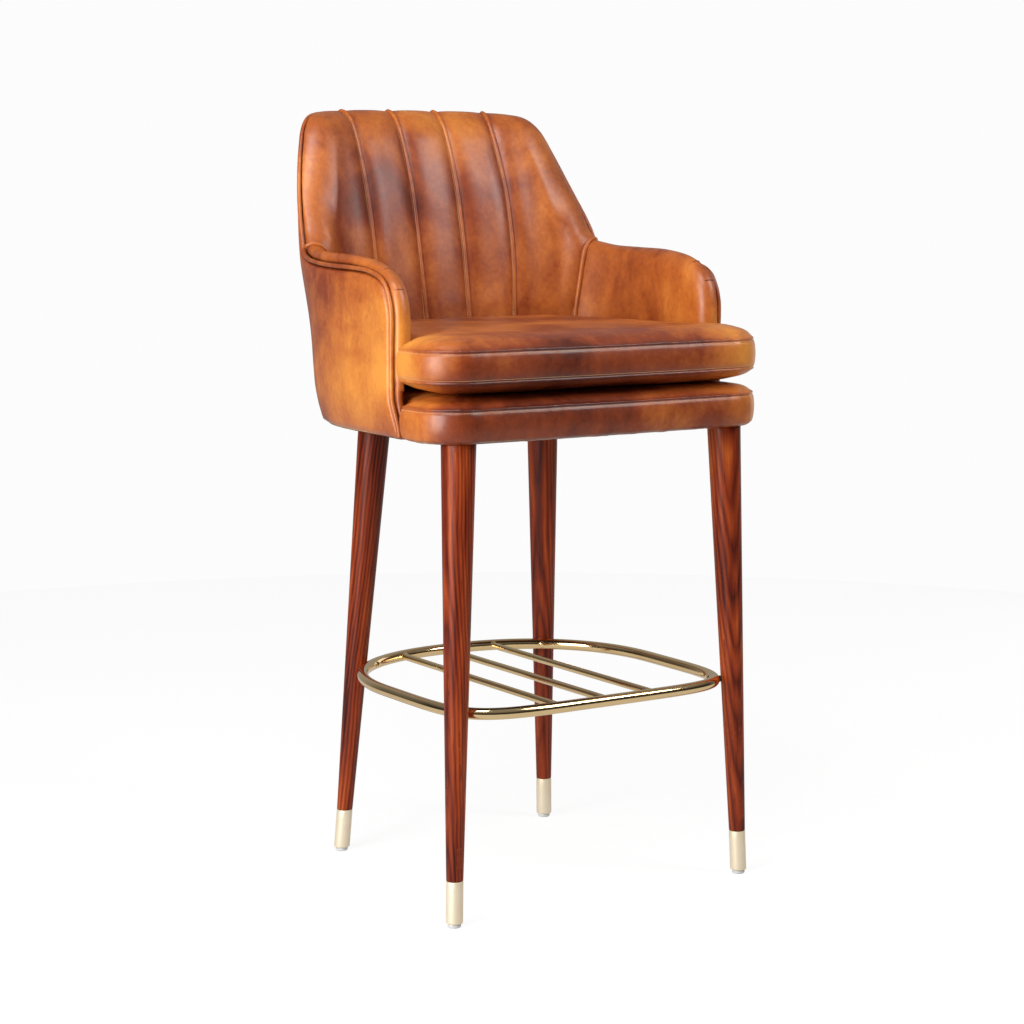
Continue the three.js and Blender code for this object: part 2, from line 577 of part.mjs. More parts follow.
for (const [name, mirror] of [['right', false], ['left', true]]) {
  add(`arm_pad_${name}`, clearOfFrame(armPad(mirror)), leather());
}

// ---------------------------------------------------------------- seat base and cushion

// Outline of the T at an inset. neckDepth gives the depth of its narrow part inside the shell
function seatOutline(body, inset, z, neckDepth) {
  const x = body.halfWidth - inset;
  const front = SEAT.frontY + inset;
  const shoulder = body.shoulderY - Math.min(inset, SEAT.shoulderInset);
  const corner = SEAT.cornerRadius - inset;
  const small = SEAT.shoulderRadius;
  const half = [];
  const bowAt = (at) => front + SEAT.bow * (at / (body.halfWidth - SEAT.cornerRadius)) ** 2;
  const flat = x - corner;
  for (const share of [0.25, 0.5, 0.75]) half.push([flat * share, bowAt(flat * share)]);
  for (let i = 0; i <= 6; i += 1) {
    const angle = (Math.PI / 2) * (i / 6);
    half.push([flat + corner * Math.sin(angle), bowAt(flat) + corner * (1 - Math.cos(angle))]);
  }
  for (let i = 0; i <= 2; i += 1) {
    const angle = (Math.PI / 2) * (i / 2);
    half.push([x - small * (1 - Math.cos(angle)), shoulder - small * (1 - Math.sin(angle))]);
  }
  for (const bearing of [-2, 3, 10, 18, 26, 32, 37, 41, 45, 49, 54, 60, 68, 79]) {
    const point = shellPoint(bearing, z, neckDepth(bearing, z) + inset);
    if (bearing === -2) half.push([point.x, shoulder]);
    else half.push([point.x, point.y]);
  }
  const middle = shellPoint(90, z, neckDepth(90, z) + inset);
  const mirrored = half.toReversed().map(([px, py]) => [-px, py]);
  return [[0, front], ...half, [0, middle.y], ...mirrored]
    .map(([px, py]) => new THREE.Vector3(px, py, z));
}

const tee = (body, neckDepth, levels) => capped(levels.map(([z, inset]) =>
  seatOutline(body, inset, z, neckDepth)));
const baseNeck = () => FRAME.inner + 1.5;
const cushionNeck = (bearing, z) => liningDepth(bearing, z) + PAD.bulge + NECK_CLEARANCE;

const basePad = tee(BASE, baseNeck, [[BASE.bottom, 4], [BASE.bottom + 5, 0.6],
  [BASE.seam - 20, 0], [BASE.seam, 0.8], [BASE.seam + 5, 7], [BASE.crown - 3, 22],
  [BASE.crown, 55]]);
const boardRoom = tee(BASE, baseNeck, [[BOARD.bottom - GAP, BOARD.inset - GAP],
  [BOARD.top + GAP, BOARD.inset - GAP]]);
const underOpening = tee(BASE, baseNeck, [[BASE.bottom - 2, DUST.inset - GAP],
  [BOARD.bottom, DUST.inset - GAP]]);
add('seat_base_pad', cut(basePad, boardRoom, underOpening, ...teeNutHoles, ...boltHoles,
  ...shellScrewHoles), leather());
add('seat_board', cut(tee(BASE, baseNeck, [[BOARD.bottom, BOARD.inset],
  [BOARD.top, BOARD.inset]]), ...boltHoles, ...teeNutHoles, ...shellScrewHoles), plywood());
add('dust_cover', cut(tee(BASE, baseNeck, [[DUST.bottom, DUST.inset],
  [DUST.top, DUST.inset]]), ...boltHoles), lining());

add('seat_cushion', tee(CUSHION, cushionNeck, [[CUSHION.bottom, 60],
  [CUSHION.bottom + 3, 30], [CUSHION.lowSeam - 7, 8], [CUSHION.lowSeam, 1],
  [(CUSHION.lowSeam + CUSHION.topSeam) / 2, 0], [CUSHION.topSeam, 1],
  [CUSHION.topSeam + 6, 8], [CUSHION.crown - 5, 28], [CUSHION.crown, 60]]), leather());

export default stool;
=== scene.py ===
# Upholstered tub bar stool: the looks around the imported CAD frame. Metres, +Z up, floor at z = 0.
# The sitter faces -Y. Names say left and right as seen from in front, so +X is right.

import json
import math

import bmesh
import bpy
import numpy as np
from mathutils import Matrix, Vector, noise


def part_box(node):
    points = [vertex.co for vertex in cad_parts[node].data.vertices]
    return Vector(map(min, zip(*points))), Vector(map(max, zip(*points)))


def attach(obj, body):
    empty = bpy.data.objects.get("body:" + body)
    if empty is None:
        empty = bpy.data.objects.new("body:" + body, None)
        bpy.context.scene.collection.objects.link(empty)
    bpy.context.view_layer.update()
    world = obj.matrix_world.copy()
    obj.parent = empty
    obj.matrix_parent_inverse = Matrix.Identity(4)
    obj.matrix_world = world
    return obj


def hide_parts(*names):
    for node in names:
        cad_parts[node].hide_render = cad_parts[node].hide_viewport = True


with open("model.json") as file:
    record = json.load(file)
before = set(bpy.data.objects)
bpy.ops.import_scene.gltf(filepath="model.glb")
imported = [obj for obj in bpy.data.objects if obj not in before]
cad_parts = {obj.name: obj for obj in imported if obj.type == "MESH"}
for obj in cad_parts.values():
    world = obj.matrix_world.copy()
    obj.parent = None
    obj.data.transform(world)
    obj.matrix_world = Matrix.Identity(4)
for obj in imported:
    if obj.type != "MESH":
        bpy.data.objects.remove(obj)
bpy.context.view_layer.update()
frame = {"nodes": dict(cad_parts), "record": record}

# ------------------------------------------------------------------ driving dimensions

LEG_MIDDLE_Y = -0.0517          # middle of the legs, from which the shell's depths are counted
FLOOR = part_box("glide_front_left")[0].z

# Shell: its outer face is a superellipse in plan that grows deeper with height
SQUARENESS = 4.6
HALF_WIDTH = (0.266, 0.271)     # at the bottom and above the arm's foot
FRONT_Y = (-0.098, -0.086)
BACK_Y = (0.228, 0.302)         # at the bottom and at the top
LOW_TAPER = 0.045
TOP_BOW = 0.017                 # the middle of the back bows out this much more at the top
BOW_BEARINGS = (44, 78)
BOW_Z = (0.930, 1.070)
BOTTOM_Z = 0.640
FOOT_Z = 0.700
TAPER_Z = (0.740, 0.890)
TOP_Z = 1.070
REFERENCE_Z = 0.850             # height at which distances round the shell are measured

# Edge of the outer cover: bearing in degrees from the right arm's front, and height
EDGE = [(0, 0.640), (0, 0.700), (0, 0.760), (0, 0.806), (1.3, 0.828), (3.3, 0.843), (8.3, 0.853),
        (16, 0.8565), (24, 0.8575), (31, 0.860), (36.5, 0.865), (39.8, 0.874), (41.4, 0.900),
        (42.8, 0.921), (44.6, 0.945), (47, 0.978), (49.6, 1.0145), (52.2, 1.0465), (54.8, 1.0605),
        (59, 1.0660), (65, 1.0680), (73, 1.0685), (81, 1.069), (90, 1.069)]
ARM_CROWN = [(-2.1, 0.703), (-2.1, 0.750), (-2.1, 0.796), (-1.7, 0.815), (-0.8, 0.832), (0.8, 0.846),
             (3.5, 0.858), (8, 0.869), (16, 0.8765), (26, 0.8785), (33, 0.8805), (38.8, 0.887)]
ARM_SEAM = [(43.9, 0.703), (42.4, 0.779), (41.2, 0.815), (40.2, 0.845), (39.4, 0.868),
            (38.8, 0.887)]
ARM_SEAM_TOP = ARM_SEAM[-1][1]
SEAM_BEARINGS = (65.5, 81.9)
LINING_BOTTOM = 0.703
BACK_CROWN = 0.0075             # the back lining stands this far above the cover's edge
LINING_OUTER = 0.007            # depth of the lining's outer side
ARM_DEPTH = 0.034
BACK_DEPTH = (0.046, 0.035)     # at the seat and at the top
CHANNEL_PUFF = 0.0098
WELT_RADIUS = 0.003
PIPING_RADIUS = 0.0036


def smooth(value, low, high):
    t = np.clip((np.asarray(value, float) - low) / (high - low), 0, 1)
    return t * t * (3 - 2 * t)


def mix(low, high, t):
    return low + (high - low) * t


def unit(vectors):
    return vectors / np.linalg.norm(vectors, axis=-1, keepdims=True)


def reach_along(line):
    """Length of a line from its start to each of its points."""
    return np.concatenate([[0], np.cumsum(np.linalg.norm(np.diff(line, axis=0), axis=1))])


def plan(bearing, z):
    """Outer face of the shell: bearing 0 is the right arm's front, 90 the middle of the back."""
    bearing, z = np.broadcast_arrays(np.asarray(bearing, float), np.asarray(z, float))
    side = np.where(bearing > 90, -1.0, 1.0)
    angle = np.radians(np.where(bearing > 90, 180 - bearing, bearing))
    low = smooth(z, BOTTOM_Z, FOOT_Z)
    front = mix(*FRONT_Y, low)
    depth = mix(*BACK_Y, (z - BOTTOM_Z) / (TOP_Z - BOTTOM_Z)) - front
    c = np.cos(angle)
    s = np.sin(angle)
    rounded = (np.abs(c) ** SQUARENESS + np.abs(s) ** SQUARENESS) ** (-1 / SQUARENESS)
    r = np.where(angle < 0, 1 / np.maximum(c, 0.5), rounded)
    taper = LOW_TAPER * (1 - smooth(z, *TAPER_Z))
    x = side * mix(*HALF_WIDTH, low) * r * c * (1 - taper * r * s)
    up = np.clip((z - BOW_Z[0]) / (BOW_Z[1] - BOW_Z[0]), 0, 1)
    bow = TOP_BOW * smooth(np.degrees(angle), *BOW_BEARINGS) * up ** 2
    return x, front + depth * r * s + bow + LEG_MIDDLE_Y


# Distance round the shell for a bearing, both ways
_bearings = np.arange(-8, 188.01, 0.02)
_x, _y = plan(_bearings, REFERENCE_Z)
_round = np.concatenate([[0], np.cumsum(np.hypot(np.diff(_x), np.diff(_y)))])
_round -= np.interp(0, _bearings, _round)
FULL_ROUND = float(np.interp(180, _bearings, _round))


def distance_of(bearing):
    return np.interp(bearing, _bearings, _round)


def bearing_of(distance):
    return np.interp(distance, _round, _bearings)


def shell_point(s, z, depth):
    """Points at a distance round the shell, a height and a depth inside its outer face."""
    bearing = bearing_of(s)
    x, y = plan(bearing, z)
    ax, ay = plan(bearing - 0.2, z)
    bx, by = plan(bearing + 0.2, z)
    length = np.hypot(bx - ax, by - ay)
    x = x - (by - ay) / length * depth
    y = y + (bx - ax) / length * depth
    return np.stack(np.broadcast_arrays(x, y, z), axis=-1)


def sheet_points(grid, depth):
    """Points in space of a grid of [distance round the shell, height], at a depth."""
    return shell_point(grid[..., 0], grid[..., 1], depth)


def level(s, z):
    """[distance round the shell, height] at distances s, all at one height."""
    return np.stack([s, np.full(len(s), z)], -1)


def spline(points, step=0.0008):
    """A smooth line through points, with a point about every step."""
    p = np.array(points, float)
    p = np.concatenate([[2 * p[0] - p[1]], p, [2 * p[-1] - p[-2]]])
    out = []
    for i in range(1, len(p) - 2):
        knots = np.cumsum([0] + [max(np.linalg.norm(p[i + k] - p[i + k - 1]), 1e-6) ** 0.5
                                 for k in (0, 1, 2)])
        t = np.linspace(knots[1], knots[2],
                        max(2, int(np.linalg.norm(p[i + 1] - p[i]) / step)) + 1)[:-1, None]
        a = [((knots[k + 1] - t) * p[i - 1 + k] + (t - knots[k]) * p[i + k])
             / (knots[k + 1] - knots[k]) for k in range(3)]
        b = [((knots[k + 2] - t) * a[k] + (t - knots[k]) * a[k + 1])
             / (knots[k + 2] - knots[k]) for k in range(2)]
        out.append(((knots[2] - t) * b[0] + (t - knots[1]) * b[1]) / (knots[2] - knots[1]))
    out.append(p[-2:-1])
    return np.concatenate(out)


def resample(line, count, start=0.0, end=1.0):
    """count points evenly spaced along a line, between two shares of its length."""
    reach = reach_along(line)
    wanted = np.linspace(start, end, count) * reach[-1]
    return np.stack([np.interp(wanted, reach, line[:, k]) for k in range(line.shape[1])], -1)


def on_shell(points):
    """[bearing, height] pairs as [distance round the shell, height]."""
    return np.array([(float(distance_of(b)), z) for b, z in points])


def offset(line, distance):
    """A line in the shell's surface, moved outwards, away from the upholstery."""
    heading = unit(np.gradient(line, axis=0))
    out = np.stack([-heading[:, 1], heading[:, 0]], -1)
    return line + out * np.reshape(distance, (-1, 1)), out


half_edge = spline(on_shell(EDGE))
mirrored_edge = half_edge[::-1][1:] * [-1, 1] + [FULL_ROUND, 0]
edge_line = np.concatenate([half_edge, mirrored_edge])

# ------------------------------------------------------------------ mesh helpers


def grid_faces(rows, columns, start=0):
    """Faces of an open grid whose points follow start, row by row."""
    faces = []
    for i in range(rows - 1):
        a = start + i * columns
        b = a + columns
        for j in range(columns - 1):
            faces.append((a + j, b + j, b + j + 1, a + j + 1))
    return faces


def border_of(rows, columns):
    """Indices of a grid's outer points, once round it."""
    places = ([(i, 0) for i in range(rows)] + [(rows - 1, j) for j in range(1, columns)]
              + [(i, columns - 1) for i in range(rows - 2, -1, -1)]
              + [(0, j) for j in range(columns - 2, 0, -1)])
    return [i * columns + j for i, j in places]


def tube_faces(rings, sides, closed=False):
    """Faces between rings that follow one another, each with the same number of points."""
    faces = []
    for i in range(rings if closed else rings - 1):
        a = i * sides
        b = (i + 1) % rings * sides
        for j in range(sides):
            k = (j + 1) % sides
            faces.append((a + j, a + k, b + k, b + j))
    return faces


def end_faces(rings, sides):
    """The two faces that close a tube of rings."""
    return [tuple(range(sides))[::-1], tuple((rings - 1) * sides + j for j in range(sides))]


def new_mesh(name, vertices, faces):
    mesh = bpy.data.meshes.new(name)
    mesh.from_pydata([tuple(v) for v in vertices], [], faces)
    return mesh


def new_object(name, data):
    thing = bpy.data.objects.new(name, data)
    bpy.context.scene.collection.objects.link(thing)
    return thing


def make(name, vertices, faces, body, *nodes, slot=None, material=None, weld=1e-6, fields=None):
    """A smooth shaded piece that rides on a body and stands for CAD nodes."""
    mesh = new_mesh(name, vertices, faces)
    for field, values in (fields or {}).items():
        mesh.attributes.new(field, "FLOAT", "POINT").data.foreach_set("value", np.ravel(values))
    work = bmesh.new()
    work.from_mesh(mesh)
    bmesh.ops.remove_doubles(work, verts=work.verts, dist=weld)
    bmesh.ops.dissolve_degenerate(work, edges=work.edges, dist=weld)
    loose = [v for v in work.verts if not v.link_faces]
    bmesh.ops.delete(work, geom=loose, context="VERTS")
    bmesh.ops.recalc_face_normals(work, faces=work.faces)
    work.to_mesh(mesh)
    work.free()
    mesh.polygons.foreach_set("use_smooth", [True] * len(mesh.polygons))
    piece = new_object(name, mesh)
    if material:
        mesh.materials.append(material)
    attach(piece, body)
    if nodes:
        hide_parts(*nodes)
    return piece


def leather_piece(name, vertices, faces, body, *nodes, wear_and_shade=0.0):
    """A leather piece with the clouds' tone, which is partly rubbed colour and partly painted light and
    shade, and darkened by a field of seam wear and painted shade.
    """
    fields = {"tone": tone_at(vertices), "wear_and_shade": np.broadcast_to(wear_and_shade, len(vertices))}
    return make(name, vertices, faces, body, *nodes, slot="leather", material=LEATHER,
                fields=fields)


def sweep(path, radius, sides=12, closed=False):
    """Vertices and faces of a tube along a path."""
    path = np.asarray(path, float)
    if closed:
        tangent = np.roll(path, -1, 0) - np.roll(path, 1, 0)
    else:
        tangent = np.gradient(path, axis=0)
    tangent = unit(tangent)
    normal = np.cross(tangent[0], (0.0, 0.0, 1.0))
    if np.linalg.norm(normal) < 0.2:
        normal = np.cross(tangent[0], (0.0, 1.0, 0.0))
    frames = []
    for t in tangent:
        normal = normal - t * (normal @ t)
        normal /= np.linalg.norm(normal)
        frames.append(normal)
    normal = np.array(frames)
    binormal = np.cross(tangent, normal)
    turn = 2 * math.pi * np.arange(sides) / sides
    radius = np.broadcast_to(np.asarray(radius, float), (len(path),))[:, None, None]
    ring = (normal[:, None] * np.cos(turn)[None, :, None]
            + binormal[:, None] * np.sin(turn)[None, :, None])
    vertices = (path[:, None] + ring * radius).reshape(-1, 3)
    faces = tube_faces(len(path), sides, closed)
    if not closed:
        faces += end_faces(len(path), sides)
    return vertices, faces


def join(parts):
    """One vertex and face list from several."""
    vertices = []
    faces = []
    start = 0
    for v, f in parts:
        vertices.append(np.asarray(v, float).reshape(-1, 3))
        faces += [tuple(i + start for i in face) for face in f]
        start += len(vertices[-1])
    return np.concatenate(vertices), faces


STITCH_PROFILE = [(-0.5, 0.25, -1.0), (-0.3, 1.0, 0.0), (0.3, 1.0, 0.0), (0.5, 0.25, -1.0)]
STITCH_SIDES = 6
STITCH_SINK = 0.25              # share of its radius that a stitch lies below the leather


def stitches(line, normal, pitch=0.0031, length=0.0021, radius=0.00042):
    """A row of thread stitches along a line. normal is the leather's normal at each point. The
    profile's rows say how far along a stitch, how wide and how high it is."""
    reach = reach_along(line)
    parts = []
    for i in range(int(reach[-1] / pitch)):
        middle = (i + 0.5) * pitch
        ends = []
        for where in (middle - length / 2, middle + length / 2):
            ends.append(np.array([np.interp(where, reach, line[:, k]) for k in range(3)]))
        up = np.array([np.interp(middle, reach, normal[:, k]) for k in range(3)])
        along = unit(ends[1] - ends[0])
        up = unit(up - along * (up @ along))
        side = np.cross(along, up)
        centre = (ends[0] + ends[1]) / 2 - up * radius * STITCH_SINK
        vertices = []
        for share, wide, lift in STITCH_PROFILE:
            for j in range(STITCH_SIDES):
                turn = 2 * math.pi * j / STITCH_SIDES
                vertices.append(centre + along * share * length
                                + (side * math.cos(turn) + up * math.sin(turn)) * radius * wide
                                + up * lift * radius * 0.9)
        rings = len(STITCH_PROFILE)
        faces = tube_faces(rings, STITCH_SIDES) + end_faces(rings, STITCH_SIDES)
        parts.append((vertices, faces))
    return join(parts)


# ------------------------------------------------------------------ materials


class Nodes:
    """Short names for building the node tree of a new material, or of the world."""

    def __init__(self, name, world=None):
        self.owner = world or bpy.data.materials.new(name)
        self.owner.use_nodes = True
        self.tree = self.owner.node_tree
        self.shader = self.tree.nodes["Background" if world else "Principled BSDF"]

    def new(self, kind, inputs=None, **settings):
        node = self.tree.nodes.new(kind)
        for key, value in settings.items():
            setattr(node, key, value)
        for key, value in (inputs or {}).items():
            if isinstance(value, bpy.types.NodeSocket):
                self.tree.links.new(value, node.inputs[key])
            else:
                node.inputs[key].default_value = value
        return node

    def place(self, scale=(1, 1, 1), attribute=None, move=(0, 0, 0)):
        if attribute:
            source = self.new("ShaderNodeAttribute", attribute_name=attribute).outputs["Vector"]
        else:
            source = self.new("ShaderNodeTexCoord").outputs["Object"]
        return self.new("ShaderNodeMapping", {"Vector": source, "Scale": scale,
                                              "Location": move}).outputs["Vector"]

    def noise(self, vector, scale, detail=3.0, roughness=0.5, distortion=0.0):
        return self.new("ShaderNodeTexNoise", {"Vector": vector, "Scale": scale, "Detail": detail,
                                               "Roughness": roughness,
                                               "Distortion": distortion}).outputs["Fac"]

    def math(self, operation, a, b=0.0):
        return self.new("ShaderNodeMath", {0: a, 1: b}, operation=operation).outputs[0]

    def remap(self, value, low, high, to_low=0.0, to_high=1.0, kind="LINEAR"):
        return self.new("ShaderNodeMapRange", {"Value": value, "From Min": low, "From Max": high,
                                               "To Min": to_low, "To Max": to_high},
                        interpolation_type=kind).outputs[0]

    def field(self, name):
        return self.new("ShaderNodeAttribute", attribute_name=name).outputs["Fac"]

    def ramp(self, value, stops):
        node = self.new("ShaderNodeValToRGB", {"Fac": value})
        elements = node.color_ramp.elements
        while len(elements) < len(stops):
            elements.new(0.5)
        for element, (position, colour) in zip(elements, stops):
            element.position = position
            element.color = (*colour, 1)
        return node.outputs["Color"]

    def mix(self, factor, a, b, blend="MIX"):
        node = self.new("ShaderNodeMix", data_type="RGBA", blend_type=blend)
        for socket, value in ((node.inputs[0], factor), (node.inputs[6], a), (node.inputs[7], b)):
            if isinstance(value, bpy.types.NodeSocket):
                self.tree.links.new(value, socket)
            else:
                socket.default_value = value if isinstance(value, float) else (*value, 1)
        return node.outputs[2]

    def bump(self, height, strength, distance, normal=None):
        inputs = {"Height": height, "Strength": strength, "Distance": distance}
        if normal:
            inputs["Normal"] = normal
        return self.new("ShaderNodeBump", inputs).outputs["Normal"]

    def finish(self, **inputs):
        for key, value in inputs.items():
            socket = self.shader.inputs[key.replace("_", " ").title().replace("Ior", "IOR")]
            if isinstance(value, bpy.types.NodeSocket):
                self.tree.links.new(value, socket)
            else:
                socket.default_value = value
        return self.owner


DARK_BROWN = (0.090, 0.0120, 0.0030)
BROWN = (0.245, 0.040, 0.0070)
TAN = (0.490, 0.128, 0.0200)
ORANGE = (0.760, 0.280, 0.0430)


def leather_material(name, lift=0.0, grain=1.0):
    """Hand rubbed leather: dark clouds over tan, with a fine grain. Its tone field is partly rubbed
    colour and partly painted light and shade. A second field darkens it at the seams, partly with wear
    and partly with painted shade in seams, creases and gaps.
    """
    n = Nodes(name)
    place = n.place()
    clouds = n.noise(place, 6.5, 4.0, 0.55, 0.7)
    rubbed = n.noise(n.place((1, 1, 0.45)), 21.0, 4.0, 0.6, 0.4)
    fine = n.noise(place, 140.0, 3.0, 0.65)
    # the tone field: partly rubbed colour, partly painted light and shade on the panels
    value = n.math("ADD", n.remap(clouds, 0.25, 0.75, 0.22, 0.80),
                   n.math("MULTIPLY", n.field("tone"), 0.34))
    value = n.math("ADD", value, n.remap(rubbed, 0.2, 0.8, -0.20, 0.20))
    value = n.math("ADD", value, n.remap(fine, 0.2, 0.8, -0.10, 0.10))
    value = n.math("ADD", value, lift)
    # darker by the seam field: wear, and painted shade in seams, creases and the gaps beside the seat
    value = n.math("SUBTRACT", value, n.math("MULTIPLY", n.field("wear_and_shade"), 0.33))
    colour = n.ramp(value, [(0.0, DARK_BROWN), (0.30, BROWN), (0.62, TAN), (1.0, ORANGE)])
    cells = n.new("ShaderNodeTexVoronoi", {"Vector": place, "Scale": 760.0},
                  feature="DISTANCE_TO_EDGE").outputs["Distance"]
    creases = n.remap(cells, 0.0, 0.16)
    pores = n.noise(place, 1300.0, 2.0)
    soft = n.noise(place, 95.0, 3.0, 0.6)
    normal = n.bump(soft, 0.10 * grain, 0.0012)
    normal = n.bump(creases, 0.16 * grain, 0.00025, normal)
    normal = n.bump(pores, 0.10 * grain, 0.0002, normal)
    rough = n.math("ADD", n.remap(rubbed, 0.3, 0.7, 0.32, 0.42),
                   n.remap(creases, 0.0, 1.0, 0.05, 0.0))
    return n.finish(base_color=colour, roughness=rough, normal=normal, specular_ior_level=0.5,
                    coat_weight=0.20, coat_roughness=0.30)


def thread_material():
    """Light brown twisted thread."""
    n = Nodes("thread")
    twist = n.noise(n.place(), 1500.0, 2.0)
    colour = n.ramp(twist, [(0.3, (0.50, 0.22, 0.085)), (0.7, (0.80, 0.46, 0.22))])
    return n.finish(base_color=colour, roughness=0.7, normal=n.bump(twist, 0.3, 0.0002))


def rosewood_material():
    """Red brown wood cut from beside the heart, so that the rings show as long arches."""
    n = Nodes("rosewood")
    grain = n.place(attribute="grain")
    warp = n.noise(n.place((1, 1, 0.16), "grain"), 26.0, 3.0, 0.5)
    warp_wide = n.noise(n.place((1, 1, 0.3), "grain", (0.3, 0.1, 0.2)), 9.0, 2.0, 0.5)
    split = n.new("ShaderNodeSeparateXYZ", {"Vector": grain})
    lean_x = n.math("ADD", split.outputs[0], n.math("MULTIPLY", split.outputs[2], 0.045))
    lean_y = n.math("ADD", split.outputs[1], n.math("MULTIPLY", split.outputs[2], 0.02))
    square = n.math("ADD", n.math("POWER", n.math("ADD", lean_x, 0.034), 2.0),
                    n.math("POWER", n.math("ADD", lean_y, 0.017), 2.0))
    radius = n.math("SQRT", square)
    radius = n.math("ADD", radius, n.math("MULTIPLY", warp, 0.014))
    radius = n.math("ADD", radius, n.math("MULTIPLY", warp_wide, 0.016))
    rings = n.math("FRACT", n.math("MULTIPLY", radius, 190.0))
    rings = n.math("ABSOLUTE", n.math("SUBTRACT", n.math("MULTIPLY", rings, 2.0), 1.0))
    bands = n.noise(n.place((1, 1, 0.05), "grain"), 120.0, 3.0, 0.6)
    value = n.math("ADD", n.math("MULTIPLY", n.math("POWER", rings, 0.8), 0.40),
                   n.remap(bands, 0.25, 0.75, 0.0, 0.5))
    patch = n.noise(n.place((1, 1, 0.12), "grain", (0.7, 0.2, 0.1)), 30.0, 2.0, 0.5)
    value = n.math("ADD", value, n.remap(patch, 0.3, 0.7, -0.26, 0.26))
    colour = n.ramp(value, [(0.0, (0.035, 0.0040, 0.0020)), (0.25, (0.130, 0.0140, 0.0035)),
                            (0.6, (0.300, 0.042, 0.0080)), (1.0, (0.540, 0.120, 0.0200))])
    pores = n.noise(n.place((1, 1, 0.02), "grain"), 900.0, 2.0, 0.6)
    dark = n.remap(pores, 0.30, 0.42, 0.55, 0.0)
    colour = n.mix(dark, colour, (0.03, 0.007, 0.004))
    normal = n.bump(pores, 0.12, 0.0004)
    rough = n.remap(bands, 0.2, 0.8, 0.32, 0.42)
    return n.finish(base_color=colour, roughness=rough, normal=normal, specular_ior_level=0.22)


def brass_material(name, colour, roughness, brushed, metallic=1.0):
    """Brass with faint stains, polished or brushed along its length."""
    n = Nodes(name)
    lines = n.noise(n.place((1, 1, 0.15)), 900.0 if brushed else 160.0, 3.0, 0.6)
    stains = n.noise(n.place(), 26.0, 3.0, 0.55)
    deeper = tuple(c * s for c, s in zip(colour, (0.90, 0.84, 0.70)))
    tint = n.mix(n.remap(stains, 0.35, 0.75, 0.0, 0.5), colour, deeper)
    rough = n.math("ADD", n.remap(lines, 0.2, 0.8, roughness * 0.8, roughness * 1.25),
                   n.remap(stains, 0.4, 0.8, 0.0, roughness * 0.4))
    normal = n.bump(lines, 0.05 if brushed else 0.012, 0.0002)
    return n.finish(base_color=tint, metallic=metallic, roughness=rough, normal=normal)


def plain_material(name, dark, light, scale, roughness, metallic=0.0, stretch=(1, 1, 1),
                   bump=0.1):
    """A quiet finish for hidden or small pieces: two shades of noise and a light bump."""
    n = Nodes(name)
    grain = n.noise(n.place(stretch), scale, 4.0, 0.6)
    colour = n.ramp(grain, [(0.3, dark), (0.7, light)])
    rough = n.remap(grain, 0.2, 0.8, roughness * 0.85, roughness * 1.15)
    return n.finish(base_color=colour, metallic=metallic, roughness=rough,
                    normal=n.bump(grain, bump, 0.0003))


LEATHER = leather_material("leather")
PIPING = leather_material("piping_leather", lift=-0.02, grain=0.7)
THREAD = thread_material()
ROSEWOOD = rosewood_material()
POLISHED = brass_material("polished_brass", (0.94, 0.69, 0.37), 0.09, False)
SATIN = brass_material("satin_brass", (0.99, 0.86, 0.66), 0.42, True, 0.6)
STEEL = plain_material("zinc_steel", (0.42, 0.43, 0.45), (0.60, 0.61, 0.63), 300.0, 0.35, 1.0)
NYLON = plain_material("nylon", (0.60, 0.60, 0.59), (0.74, 0.74, 0.73), 240.0, 0.45)
PLYWOOD = plain_material("plywood", (0.36, 0.23, 0.12), (0.62, 0.46, 0.28), 60.0, 0.7,
                         stretch=(1, 1, 6))
CLOTH = plain_material("lining_cloth", (0.008, 0.008, 0.009), (0.028, 0.028, 0.03), 1400.0, 0.95,
                       bump=0.5)
FIBRE = plain_material("fibre", (0.012, 0.010, 0.009), (0.03, 0.026, 0.022), 500.0, 0.7)

CAD_FINISHES = {"leather": LEATHER, "piping": PIPING, "rosewood": ROSEWOOD,
                "polished_brass": POLISHED, "satin_brass": SATIN, "zinc_steel": STEEL,
                "nylon": NYLON, "plywood": PLYWOOD, "lining_cloth": CLOTH, "fibre": FIBRE}
for part in frame["record"]["subparts"]:
    cad = frame["nodes"][part["node"]]
    cad.data.materials.clear()
    cad.data.materials.append(CAD_FINISHES[part["material_slot"]])
